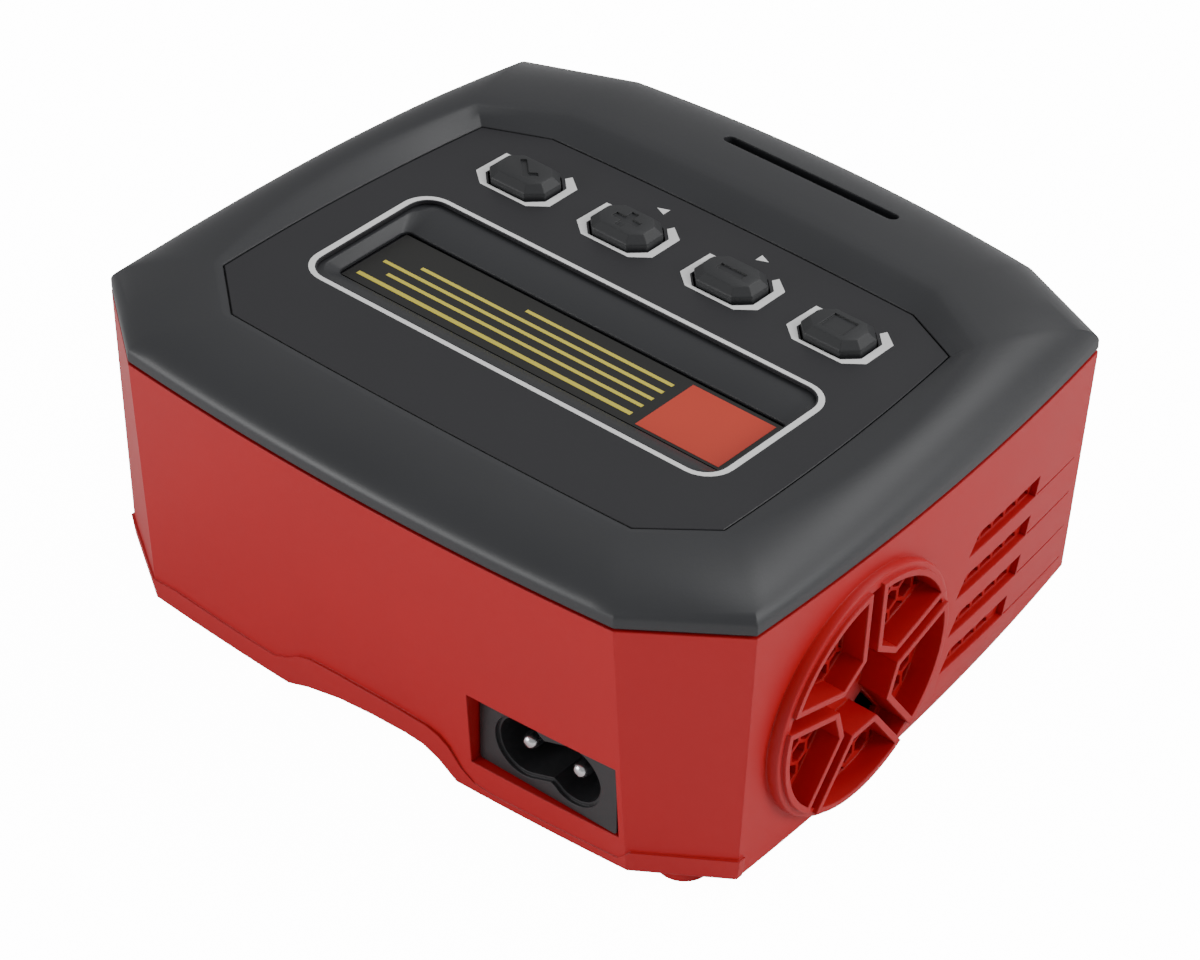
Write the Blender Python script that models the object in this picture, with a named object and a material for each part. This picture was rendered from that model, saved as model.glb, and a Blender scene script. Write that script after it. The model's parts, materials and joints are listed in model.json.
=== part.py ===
"""Balance battery charger: a mains-fed charger for model batteries, as an assembly of separate parts.

Lengths below are millimetres; meshes are written in metres. The origin is the bottom centre, +Z is up,
-Y is the user's front, +Y the back with the mains inlet, -X the fan side, +X the battery sockets' side.
The joint between case and cover, and the control panel above it, slope gently down to the user.
"""
from math import atan, cos, hypot, pi, radians, sin

import bmesh
import bpy
from mathutils import Matrix, Vector

MM = 0.001
GAP = 0.3

CENTRE = (0.85, 0.3)    # moves the overall box's centre, fan ring included, onto the origin

# Driving heights and slopes
SLOPE = 0.0437          # rise of the joint and of the panel per millimetre towards the back
JOINT_Z = 42.4          # height of the joint between case and cover at y = 0
BASE_Z = 2.0            # underside of the case, above the feet
WALL = 2.4
FLOOR_Z = 4.2

# Plan outlines: front corner, side's front end, side's back end, back corner, for x > 0
JOINT_PLAN = ((34.8, -49.2), (50.8, -42.3), (56.2, 38.1), (42.1, 49.1))
BASE_PLAN = ((33.4, -47.2), (48.6, -41.3), (54.4, 38.2), (42.4, 46.2))
CREST_PLAN = ((32.3, -30.2), (44.0, -23.0), (44.9, 29.9), (35.4, 37.9))
PANEL_PLAN = ((31.9, -25.6), (41.4, -21.1), (43.6, 29.2), (34.7, 36.9))
JOINT_BOWS = (2.4, 1.9, 2.0)    # how far front, sides and back bow out
BASE_BOWS = (2.0, 1.8, 1.7)
CREST_BOWS = (1.2, 4.0, 0.9)
PANEL_BOWS = (0.6, 0.9, 0.5)

# Top cover, heights above the joint
SKIRT = 1.7
PANEL_H = 5.45          # face of the printed overlay
POCKET_H = 4.7          # floor of the pocket that the overlay lies in
CEILING_H = 2.8
CREST_FRONT_H = 7.5
CREST_BACK_H = 5.7
SHOULDER = ((0.06, 0.29), (0.19, 0.54), (0.39, 0.77), (0.67, 0.93))    # share of the way in, share of the rise

# Control panel
KEY_X = (27.6, 9.2, -9.2, -27.6)
KEY_NAMES = ("enter_key", "increase_key", "decrease_key", "stop_key")
KEY_Y = -14.6
KEY_SIZE = (10.1, 7.5)
KEY_TOP_H = 7.45
KEY_TRAVEL = 0.5
WINDOW_TOP = (-35.1, -2.6, 35.1, 21.8)
WINDOW_FLOOR = (-33.6, 3.4, 33.6, 17.6)
BOARD_H = -3.4          # top face of the control board

# Fan side
FAN_Y = 15.3
FAN_Z = 20.9
RING_R = 18.7
RING_IN = 17.2
RING_PROUD = 1.4
GRILLE_DEPTH = 2.6        # floor of the grille, below the wall's face
GRILLE_FLOOR = 0.9
RIM_TOP = 2.0
FAN_SIZE = 30.0
DUCT_R = 14.2
HUB_R = 6.8
BLADE_R = 13.4
FAN_X = (-48.6, -38.6)
POCKET_ANGLES = tuple(54 + 72 * i for i in range(5))
POCKET_NOSE = 5.8
CHANNEL = 2.4
HEX_PITCH = 3.3
HEX_R = 1.35
VENT_ROWS = ((27.3, -10.4, -28.9), (21.3, -8.2, -27.5), (15.2, -7.3, -26.1), (9.4, -6.2, -23.6))
VENT_FALL = 0.07        # how much each row drops per millimetre towards the front
VENT_HEIGHT = 3.2

# Mains inlet
INLET_X = -29.4
INLET_Z = 13.9
INLET_SIZE = (23.4, 12.0, 11.6)
INLET_FACE_Y = 46.7
PIN_SPACING = 8.6
PIN_R = 1.2

# Battery side
BALANCE_PINS = ((3, 4, 5), (6, 7))
BALANCE_AT = (-9.6, 20.7)
BALANCE_SIZE = (40.6, 13.6)
BALANCE_ROW = 5.8
OUTPUT_AT = (22.4, 20.7)
SOCKET_SUNK = 0.9

# Feet, posts and boards
POSTS = ((45.6, 38.2), (-45.6, 38.2), (41.0, -38.5), (-41.0, -38.5))
POST_R = 3.8
FOOT_R = 4.0
POST_SPLIT_Z = 20.0
MAIN_BOARD = (-36.0, -41.0, 36.0, 32.2)
MAIN_BOARD_Z = 7.6
BOARD_T = 1.6
DECK_Z = MAIN_BOARD_Z + BOARD_T + GAP
BOARD_SCREWS = ((17.0, 28.5), (-10.0, 28.5), (32.0, -37.0), (-32.0, -37.0))
PANEL_SCREWS = ((36.0, 23.8), (-36.0, 23.8), (36.0, -18.8), (-36.0, -18.8))

COLOURS = {
    "red_plastic": ((0.52, 0.035, 0.035), 0.42, 0.0),
    "charcoal_plastic": ((0.030, 0.030, 0.034), 0.50, 0.0),
    "overlay_black": ((0.018, 0.018, 0.021), 0.38, 0.0),
    "key_plastic": ((0.026, 0.026, 0.029), 0.55, 0.0),
    "clear_lens": ((0.05, 0.05, 0.06), 0.12, 0.0),
    "film": ((0.012, 0.012, 0.012), 0.30, 0.0),
    "lcd_glass": ((0.10, 0.16, 0.10), 0.20, 0.0),
    "black_resin": ((0.014, 0.014, 0.015), 0.40, 0.0),
    "plated_metal": ((0.75, 0.75, 0.76), 0.22, 1.0),
    "circuit_board": ((0.015, 0.10, 0.045), 0.45, 0.0),
    "ferrite": ((0.045, 0.045, 0.050), 0.60, 0.0),
    "winding_tape": ((0.75, 0.55, 0.08), 0.45, 0.0),
    "copper_wire": ((0.70, 0.28, 0.10), 0.35, 1.0),
    "capacitor_sleeve": ((0.02, 0.04, 0.12), 0.35, 0.0),
    "film_yellow": ((0.70, 0.52, 0.05), 0.40, 0.0),
    "aluminium": ((0.62, 0.63, 0.65), 0.35, 1.0),
    "white_nylon": ((0.80, 0.79, 0.74), 0.45, 0.0),
    "amber_nylon": ((0.80, 0.50, 0.03), 0.42, 0.0),
    "gold_contact": ((0.83, 0.60, 0.22), 0.25, 1.0),
    "steel": ((0.42, 0.42, 0.44), 0.32, 1.0),
    "fan_black": ((0.020, 0.020, 0.022), 0.48, 0.0),
}


# ------------------------------------------------------------------ scene and object helpers

def clear_scene():
    for obj in list(bpy.data.objects):
        bpy.data.objects.remove(obj, do_unlink=True)
    for old in [c for c in bpy.data.collections if c.name in ("balance_charger", "cutters")]:
        bpy.data.collections.remove(old)


def new_collection(name):
    group = bpy.data.collections.new(name)
    bpy.context.scene.collection.children.link(group)
    return group


def material(name):
    found = bpy.data.materials.get(name)
    if found:
        return found
    colour, rough, metal = COLOURS[name]
    made = bpy.data.materials.new(name)
    made.use_nodes = True
    shader = made.node_tree.nodes["Principled BSDF"]
    shader.inputs["Base Color"].default_value = (*colour, 1.0)
    shader.inputs["Roughness"].default_value = rough
    shader.inputs["Metallic"].default_value = metal
    return made


def finish_mesh(bm, name):
    """Welds, orients and scales a millimetre bmesh into a metre mesh."""
    bmesh.ops.remove_doubles(bm, verts=bm.verts[:], dist=0.002)
    bmesh.ops.recalc_face_normals(bm, faces=bm.faces[:])
    bmesh.ops.scale(bm, vec=(MM, MM, MM), verts=bm.verts[:])
    mesh = bpy.data.meshes.new(name)
    bm.to_mesh(mesh)
    bm.free()
    return mesh


def part(name, bm, finish, smooth=False, origin=None):
    """Makes a named sub-part; origin, in millimetres, is where its own axes sit."""
    if origin:
        bmesh.ops.translate(bm, vec=-Vector(origin), verts=bm.verts[:])
    mesh = finish_mesh(bm, name)
    if smooth:
        mesh.shade_smooth()
        mesh.set_sharp_from_angle(angle=radians(35))
    obj = bpy.data.objects.new(name, mesh)
    obj.data.materials.append(material(finish))
    if origin:
        obj.location = Vector(origin) * MM
    PARTS.objects.link(obj)
    return obj


def cutter(name, bm):
    obj = bpy.data.objects.new(name, finish_mesh(bm, name))
    obj.hide_render = True
    obj.display_type = "WIRE"
    CUTTERS.objects.link(obj)
    return obj


def boolean(obj, other, operation):
    mod = obj.modifiers.new(f"{operation.lower()}_{other.name}", "BOOLEAN")
    mod.operation = operation
    mod.object = other
    mod.solver = "EXACT"
    return mod


def cut(obj, name, bm):
    boolean(obj, cutter(name, bm), "DIFFERENCE")


def add(obj, name, bm):
    boolean(obj, cutter(name, bm), "UNION")


def merged(*pieces):
    """One bmesh that holds several separate closed shapes."""
    total = bmesh.new()
    for piece in pieces:
        carrier = bpy.data.meshes.new("carrier")
        piece.to_mesh(carrier)
        piece.free()
        total.from_mesh(carrier)
        bpy.data.meshes.remove(carrier)
    return total


# ------------------------------------------------------------------ shape helpers, in millimetres

def joint_z(y):
    return JOINT_Z + SLOPE * y


def box(x0, y0, z0, x1, y1, z1):
    bm = bmesh.new()
    bmesh.ops.create_cube(bm, size=1.0)
    bmesh.ops.scale(bm, vec=(x1 - x0, y1 - y0, z1 - z0), verts=bm.verts[:])
    bmesh.ops.translate(bm, vec=((x0 + x1) / 2, (y0 + y1) / 2, (z0 + z1) / 2), verts=bm.verts[:])
    return bm


def soft_box(corners, radius, segments=1):
    """A box with its edges bevelled."""
    bm = box(*corners)
    bmesh.ops.bevel(bm, geom=bm.edges[:], offset=radius, segments=segments, affect="EDGES", profile=0.5)
    return bm


def cylinder(radius, z0, z1, x=0.0, y=0.0, sides=24, top_radius=None):
    bm = bmesh.new()
    top = radius if top_radius is None else top_radius
    bmesh.ops.create_cone(bm, cap_ends=True, segments=sides, radius1=radius, radius2=top, depth=z1 - z0)
    bmesh.ops.translate(bm, vec=(x, y, (z0 + z1) / 2), verts=bm.verts[:])
    return bm


def along_x(bm):
    """Turns a shape built along Z so that it lies along X."""
    bmesh.ops.rotate(bm, matrix=Matrix.Rotation(pi / 2, 3, "Y"), verts=bm.verts[:])
    return bm


def along_y(bm):
    bmesh.ops.rotate(bm, matrix=Matrix.Rotation(-pi / 2, 3, "X"), verts=bm.verts[:])
    return bm


def moved(bm, x, y, z):
    bmesh.ops.translate(bm, vec=(x, y, z), verts=bm.verts[:])
    return bm


def prism(points, low, high):
    """A flat outline extruded along Z from low to high."""
    bm = bmesh.new()
    face = bm.faces.new([bm.verts.new((x, y, low)) for x, y in points])
    top = bmesh.ops.extrude_face_region(bm, geom=[face])
    lifted = [v for v in top["geom"] if isinstance(v, bmesh.types.BMVert)]
    bmesh.ops.translate(bm, vec=(0, 0, high - low), verts=lifted)
    return bm


def loft(rings):
    """A closed solid through rings of equally many points, capped at both ends."""
    bm = bmesh.new()
    loops = [[bm.verts.new(point) for point in ring] for ring in rings]
    count = len(loops[0])
    for low, high in zip(loops, loops[1:]):
        for i in range(count):
            j = (i + 1) % count
            bm.faces.new((low[i], low[j], high[j], high[i]))
    bm.faces.new(reversed(loops[0]))
    bm.faces.new(loops[-1])
    return bm


def bowed(start, end, bow, steps):
    """Points from start up to, but not including, end, on a shallow arc that bows to the right."""
    length = hypot(end[0] - start[0], end[1] - start[1])
    side = ((end[1] - start[1]) / length, (start[0] - end[0]) / length)
    points = []
    for i in range(steps):
        t = i / steps
        rise = 4 * bow * t * (1 - t)
        points.append((start[0] + (end[0] - start[0]) * t + side[0] * rise,
                       start[1] + (end[1] - start[1]) * t + side[1] * rise))
    return points


def plan(corners, bows, steps=6):
    """The full outline, anticlockwise from above, from the four corners at x > 0."""
    front, side, back = bows
    right = list(corners)
    left = [(-x, y) for x, y in reversed(corners)]
    ring = right + left
    edges = ((0, steps // 3), (side, steps), (0, steps // 3), (back, steps),
             (0, steps // 3), (side, steps), (0, steps // 3), (front, steps))
    points = []
    for i, (bow, count) in enumerate(edges):
        points += bowed(ring[i], ring[(i + 1) % len(ring)], bow, count)
    return points


def inset(corners, distance):
    """The four corners at x > 0 after every edge of the outline moves inwards."""
    ring = list(corners) + [(-x, y) for x, y in reversed(corners)]
    count = len(ring)
    result = []
    for i in range(len(corners)):
        lines = []
        for a, b in ((ring[i - 1], ring[i]), (ring[i], ring[(i + 1) % count])):
            length = hypot(b[0] - a[0], b[1] - a[1])
            normal = (-(b[1] - a[1]) / length, (b[0] - a[0]) / length)
            lines.append((normal, normal[0] * a[0] + normal[1] * a[1] + distance))
        (n, c), (m, d) = lines
        det = n[0] * m[1] - n[1] * m[0]
        result.append(((c * m[1] - d * n[1]) / det, (n[0] * d - m[0] * c) / det))
    return tuple(result)


def ring_at(corners, bows, height):
    """A plan outline lifted by height(y)."""
    return [(x, y, height(y)) for x, y in plan(corners, bows)]


def rounded_rect(x0, y0, x1, y1, radius, steps=3):
    points = []
    centres = ((x1 - radius, y0 + radius, -90), (x1 - radius, y1 - radius, 0),
               (x0 + radius, y1 - radius, 90), (x0 + radius, y0 + radius, 180))
    for cx, cy, start in centres:
        for i in range(steps + 1):
            angle = radians(start + 90 * i / steps)
            points.append((cx + radius * cos(angle), cy + radius * sin(angle)))
    return points


def octagon(width, height, corner):
    a, b = width / 2, height / 2
    return [(a - corner, -b), (a, corner - b), (a, b - corner), (a - corner, b),
            (corner - a, b), (-a, b - corner), (-a, corner - b), (corner - a, -b)]


def on_panel(bm, x=0.0, y=0.0):
    """Tilts a shape, built with heights above the joint at y = 0, to lie along the panel's slope."""
    for vert in bm.verts:
        vert.co.x += x
        vert.co.y += y
        vert.co.z += joint_z(vert.co.y)
    return bm


def side_x(y, z):
    """Outer face of the case's side wall at a place and height, for x > 0."""
    widths = []
    for corners, bows in ((BASE_PLAN, BASE_BOWS), (JOINT_PLAN, JOINT_BOWS)):
        (x0, y0), (x1, y1) = corners[1], corners[2]
        t = (y - y0) / (y1 - y0)
        widths.append(x0 + (x1 - x0) * t + 4 * bows[1] * t * (1 - t))
    rise = (z - BASE_Z) / (joint_z(y) - BASE_Z)
    return widths[0] + (widths[1] - widths[0]) * rise


def on_fan_wall(bm):
    """Places a shape on the fan side: built flat, its X runs back, its Y up and its Z out of the wall."""
    reach = 15.0
    here = side_x(FAN_Y, FAN_Z)
    lean = (side_x(FAN_Y, FAN_Z + reach) - side_x(FAN_Y, FAN_Z - reach)) / (2 * reach)
    turn = (side_x(FAN_Y + reach, FAN_Z) - side_x(FAN_Y - reach, FAN_Z)) / (2 * reach)
    out = Vector((-1.0, -turn, lean * -1.0)).normalized()
    across = Vector((-turn, 1.0, 0.0)).normalized()
    up = across.cross(out)
    spin = Matrix((across, up, out)).transposed().to_4x4()
    bmesh.ops.transform(bm, matrix=Matrix.Translation((-here, FAN_Y, FAN_Z)) @ spin, verts=bm.verts[:])
    return bm


def on_battery_wall(bm, y, z):
    """Places a shape on the battery side: its X runs out of the wall from the wall's face at (y, z)."""
    reach = 12.0
    turn = (side_x(y + reach, z) - side_x(y - reach, z)) / (2 * reach)
    out = Vector((1.0, -turn, 0.0)).normalized()
    across = Vector((turn, 1.0, 0.0)).normalized()
    spin = Matrix((out, across, Vector((0.0, 0.0, 1.0)))).transposed().to_4x4()
    bmesh.ops.transform(bm, matrix=Matrix.Translation((side_x(y, z), y, z)) @ spin, verts=bm.verts[:])
    return bm


# ------------------------------------------------------------------ casing

def grille_pocket(shrink, outer):
    """Outline of one pocket of the fan grille, pointing along +X, with its walls moved in by shrink."""
    half_gap = CHANNEL / 2 + shrink
    lean = radians(36)
    nose = POCKET_NOSE + shrink
    low = (nose, (nose * sin(lean) - half_gap) / cos(lean))
    reach = (outer ** 2 - half_gap ** 2) ** 0.5
    top = (reach * cos(lean) + half_gap * sin(lean), reach * sin(lean) - half_gap * cos(lean))
    bulge = ((outer ** 2 - (top[1] / 2) ** 2) ** 0.5, top[1] / 2)
    return [low, top, bulge, (outer, 0.0), (bulge[0], -bulge[1]), (top[0], -top[1]), (low[0], -low[1])]


def spun(points, degrees):
    c, s = cos(radians(degrees)), sin(radians(degrees))
    return [(x * c - y * s, x * s + y * c) for x, y in points]


def inside(point, outline, margin):
    """True if the point lies inside an anticlockwise convex outline by at least margin."""
    for a, b in zip(outline, outline[1:] + outline[:1]):
        length = hypot(b[0] - a[0], b[1] - a[1])
        cross = ((b[0] - a[0]) * (point[1] - a[1]) - (b[1] - a[1]) * (point[0] - a[0])) / length
        if cross < margin:
            return False
    return True


def hexagon(x, y, radius):
    return [(x + radius * cos(radians(60 * i + 30)), y + radius * sin(radians(60 * i + 30))) for i in range(6)]


def hex_centres(limit):
    """Centres of a honeycomb within a square of half width limit."""
    rows = int(limit / (HEX_PITCH * 0.866)) + 1
    columns = int(limit / HEX_PITCH) + 1
    for row in range(-rows, rows + 1):
        for column in range(-columns, columns + 1):
            yield (column + 0.5 * (row % 2)) * HEX_PITCH, row * HEX_PITCH * 0.866


def anticlockwise(points):
    area = sum(a[0] * b[1] - b[0] * a[1] for a, b in zip(points, points[1:] + points[:1]))
    return points if area > 0 else points[::-1]


def fan_grille(case):
    """Ring, walled pockets, honeycomb and open channels in the fan side's wall."""
    back = -GRILLE_DEPTH - GRILLE_FLOOR
    add(case, "grille_ring", on_fan_wall(cylinder(RING_R, back, RING_PROUD, sides=48)))
    cut(case, "grille_bowl", on_fan_wall(cylinder(RING_IN, -GRILLE_DEPTH, RING_PROUD + 2, sides=48)))
    walls = []
    wells = []
    holes = []
    for angle in POCKET_ANGLES:
        outline = anticlockwise(spun(grille_pocket(0.0, RING_IN + 0.6), angle))
        walls.append(prism(outline, -GRILLE_DEPTH - 0.3, RIM_TOP))
        well = anticlockwise(spun(grille_pocket(1.0, RING_IN - 0.3), angle))
        wells.append(prism(well, -GRILLE_DEPTH, RING_PROUD + 1))
        for x, y in hex_centres(RING_IN):
            if inside((x, y), well, 0.7):
                holes.append(prism(hexagon(x, y, HEX_R), back - 1, RING_PROUD + 1))
        slot = spun([(8.2, -0.9), (15.8, -0.9), (15.8, 0.9), (8.2, 0.9)], angle + 36)
        holes.append(prism(anticlockwise(slot), back - 1, RING_PROUD + 1))
    add(case, "grille_walls", on_fan_wall(merged(*walls)))
    cut(case, "grille_wells", on_fan_wall(merged(*wells)))
    cut(case, "grille_holes", on_fan_wall(merged(*holes)))


def trimmed(points, low, high):
    """The part of a convex outline that lies between two levels."""
    for sign, level in ((1, low), (-1, -high)):
        kept = []
        for a, b in zip(points, points[1:] + points[:1]):
            over_a, over_b = sign * a[1] - level, sign * b[1] - level
            if over_a >= 0:
                kept.append(a)
            if over_a * over_b < 0:
                t = over_a / (over_a - over_b)
                kept.append((a[0] + (b[0] - a[0]) * t, a[1] + (b[1] - a[1]) * t))
        points = kept
    return points


def side_vents(case):
    """Four sunk slots in front of the fan, each with two staggered lines of hexagons cut off by its edges."""
    sunk = []
    holes = []
    half = VENT_HEIGHT / 2
    for z, back, front in VENT_ROWS:
        x0, x1 = front - FAN_Y, back - FAN_Y
        middle = z - FAN_Z

        def tilted(points):
            return anticlockwise([(x, y + middle + (x - x1) * VENT_FALL) for x, y in points])

        sunk.append(prism(tilted([(x0 + 0.8, -half), (x1, -half), (x1 - 2.2, half), (x0, half)]), -1.0, 4.0))
        for i in range(int((x1 - x0 - 4.6) / HEX_PITCH) * 2 + 1):
            y = HEX_PITCH * (0.433 if i % 2 else -0.433)
            shape = trimmed(hexagon(x1 - 2.6 - i * HEX_PITCH / 2, y, HEX_R), 0.25 - half, half - 0.25)
            holes.append(prism(tilted(shape), -WALL - 4, 4.0))
    cut(case, "vent_rows", on_fan_wall(merged(*sunk)))
    cut(case, "vent_holes", on_fan_wall(merged(*holes)))


def back_band(case):
    """The raised band round the foot of the back, which rises over the arch in the middle."""
    lift = 14.0
    proud = 1.5
    wide = inset(BASE_PLAN, -proud)
    band = loft([ring_at(BASE_PLAN, BASE_BOWS, lambda y: BASE_Z), ring_at(wide, BASE_BOWS, lambda y: lift)])
    obj = cutter("band", band)
    wave = [(-70, -5), (70, -5), (70, 5.8), (42, 5.8), (38, 6.4), (18.3, 6.1), (11.2, 10.1), (-10, 10.5),
            (-13.3, 9.3), (-17.6, 3.5), (-41.2, 4.0), (-43, 5.8), (-70, 5.8)]
    keep = along_y(prism([(x, -z) for x, z in wave], 37.2, 60.0))
    boolean(obj, cutter("band_wave", keep), "INTERSECT")
    boolean(case, obj, "UNION")


def arch_block(low_y):
    points = [(18.0, 0.0), (16.9, 2.1), (6.0, 5.8), (-8.8, 6.5), (-15.0, 2.0), (-16.2, 0.0)]
    block = prism([(x, -z) for x, z in points], low_y, 60.0)
    return along_y(block)


def lower_case():
    top = joint_z(0) - GAP / 2
    outer = loft([ring_at(BASE_PLAN, BASE_BOWS, lambda y: BASE_Z),
                  ring_at(JOINT_PLAN, JOINT_BOWS, lambda y: top + SLOPE * y)])
    case = part("lower_case", outer, "red_plastic")
    back_band(case)
    hollow = loft([ring_at(inset(BASE_PLAN, WALL), BASE_BOWS, lambda y: FLOOR_Z),
                   ring_at(inset(JOINT_PLAN, WALL + 0.1), JOINT_BOWS, lambda y: top + 2 + SLOPE * y)])
    space = cutter("case_space", hollow)
    boolean(space, cutter("arch_backing", arch_block_backing()), "DIFFERENCE")
    boolean(case, space, "DIFFERENCE")
    cut(case, "arch", arch_block(39.5))
    for i, (x, y) in enumerate(POSTS):
        add(case, f"foot_{i}", cylinder(FOOT_R, 0.0, BASE_Z + 1.0, x, y))
        add(case, f"case_post_{i}", cylinder(POST_R, BASE_Z + 0.5, POST_SPLIT_Z - GAP / 2, x, y))
    for i, (x, y) in enumerate(BOARD_SCREWS):
        add(case, f"board_boss_{i}", cylinder(2.6, FLOOR_Z - 1, MAIN_BOARD_Z - GAP, x, y, sides=16))
    bores = [cylinder(2.9, -1.0, 5.0, x, y) for x, y in POSTS]
    drills = [cylinder(1.4, -2.0, POST_SPLIT_Z + 3, x, y, sides=12) for x, y in POSTS]
    pilots = [cylinder(1.2, FLOOR_Z - 0.6, MAIN_BOARD_Z + 3, x, y, sides=12) for x, y in BOARD_SCREWS]
    cut(case, "screw_recesses", merged(*bores))
    cut(case, "screw_holes", merged(*drills))
    cut(case, "board_pilots", merged(*pilots))
    fan_grille(case)
    side_vents(case)
    half = INLET_SIZE[0] / 2 + 0.35
    tall = INLET_SIZE[2] / 2 + 0.3
    cut(case, "inlet_window", box(INLET_X - half, 30, INLET_Z - tall, INLET_X + half, 60, INLET_Z + tall))
    across, rise = BALANCE_SIZE[0] / 2 + 0.35, BALANCE_SIZE[1] / 2 + 0.35
    window = box(-10.0, -across, -rise, 10.0, across, rise)
    cut(case, "balance_window", on_battery_wall(window, *BALANCE_AT))
    cut(case, "output_window", on_battery_wall(output_outline(0.35, -10.0, 10.0), *OUTPUT_AT))
    return case


def arch_block_backing():
    points = [(21.0, 0.0), (18.0, 4.4), (7.0, 8.4), (-10.2, 8.8), (-18.2, 3.0), (-19.0, 0.0)]
    return along_y(prism([(x, -z) for x, z in points], 37.2, 60.0))


def crest_h(y):
    front, back = CREST_PLAN[1][1], CREST_PLAN[2][1]
    t = min(max((y - front) / (back - front), 0.0), 1.0)
    return CREST_FRONT_H + (CREST_BACK_H - CREST_FRONT_H) * t


def shoulder(share):
    """Corners part of the way from the skirt to the crest, for the cover's rounded shoulder."""
    return tuple((a[0] + (b[0] - a[0]) * share, a[1] + (b[1] - a[1]) * share)
                 for a, b in zip(JOINT_PLAN, CREST_PLAN))


def top_cover():
    def level(height):
        return lambda y: joint_z(y) + height

    def towards_crest(rise):
        return lambda y: joint_z(y) + SKIRT + (crest_h(y) - SKIRT) * rise

    rings = [ring_at(JOINT_PLAN, JOINT_BOWS, level(GAP / 2)), ring_at(JOINT_PLAN, JOINT_BOWS, level(SKIRT))]
    for share, rise in SHOULDER:
        bows = tuple(a + (b - a) * share for a, b in zip(JOINT_BOWS, CREST_BOWS))
        rings.append(ring_at(shoulder(share), bows, towards_crest(rise)))
    rings.append(ring_at(CREST_PLAN, CREST_BOWS, lambda y: joint_z(y) + crest_h(y)))
    rings.append(ring_at(PANEL_PLAN, PANEL_BOWS, level(PANEL_H)))
    rings.append(ring_at(PANEL_PLAN, PANEL_BOWS, level(POCKET_H)))
    cover = part("top_cover", loft(rings), "charcoal_plastic")
    hollow = loft([ring_at(inset(JOINT_PLAN, WALL), JOINT_BOWS, level(-2)),
                   ring_at(inset(JOINT_PLAN, WALL + 1.2), JOINT_BOWS, level(CEILING_H))])
    cut(cover, "cover_space", hollow)
    for i, (x, y) in enumerate(POSTS):
        top = joint_z(y) + CEILING_H + 0.6
        add(cover, f"cover_post_{i}", cylinder(2.6, POST_SPLIT_Z + GAP / 2, top, x, y, sides=20))
    for i, (x, y) in enumerate(PANEL_SCREWS):
        add(cover, f"panel_post_{i}", on_panel(cylinder(2.3, BOARD_H + GAP, CEILING_H + 0.5, sides=16), x, y))
    drills = [cylinder(1.3, POST_SPLIT_Z - 1, POST_SPLIT_Z + 10, x, y, sides=12) for x, y in POSTS]
    drills += [on_panel(cylinder(1.1, BOARD_H - 1, 0.6, sides=12), x, y) for x, y in PANEL_SCREWS]
    cut(cover, "cover_pilots", merged(*drills))
    cut(cover, "window", window_cutter())
    keys = [on_panel(prism(octagon(KEY_SIZE[0] + 2 * GAP, KEY_SIZE[1] + 2 * GAP, 2.2), 0.0, 9.0), x, KEY_Y) for x in KEY_X]
    cut(cover, "key_holes", merged(*keys))
    cut(cover, "front_groove", groove())
    return cover


def window_cutter():
    """The display's well: wide at the panel's face, narrower where it meets the lens."""
    def ring(rect, radius, height):
        return [(x, y, joint_z(y) + height) for x, y in rounded_rect(*rect, radius)]

    return loft([ring(WINDOW_FLOOR, 1.2, CEILING_H - 1.0), ring(WINDOW_FLOOR, 1.2, CEILING_H + 0.4),
                 ring(WINDOW_TOP, 3.4, PANEL_H), ring(WINDOW_TOP, 3.4, PANEL_H + 3)])


def groove():
    """A shallow finger groove along the cover's front slope."""
    bar = soft_box((-17.0, -42.6, 5.2, 13.5, -39.9, 13.0), 1.0)
    return on_panel(bar)


# ------------------------------------------------------------------ control panel

def key(name, x):
    """A chamfered eight-sided key with a retaining flange and a stem that presses its switch."""
    width, height = KEY_SIZE

    def ring(grow, corner, z):
        return [(px, py, z) for px, py in octagon(width + grow, height + grow, corner)]

    body = loft([ring(0.0, 2.0, CEILING_H - 1.2), ring(0.0, 2.0, KEY_TOP_H - 1.0), ring(-2.2, 1.5, KEY_TOP_H)])
    obj = part(name, on_panel(body, x, KEY_Y), "key_plastic", origin=(x, KEY_Y, joint_z(KEY_Y) + KEY_TOP_H))
    shift = -obj.location / MM
    flange = on_panel(prism(octagon(width + 2.2, height + 2.2, 2.6), CEILING_H - 1.9, CEILING_H - 1.0), x, KEY_Y)
    stem = on_panel(cylinder(1.6, 0.5, CEILING_H - 1.2, sides=12), x, KEY_Y)
    for label, shape in (("flange", flange), ("stem", stem)):
        add(obj, f"{name}_{label}", moved(shape, *shift))
        bpy.data.objects[f"{name}_{label}"].location = obj.location
    return obj


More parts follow.
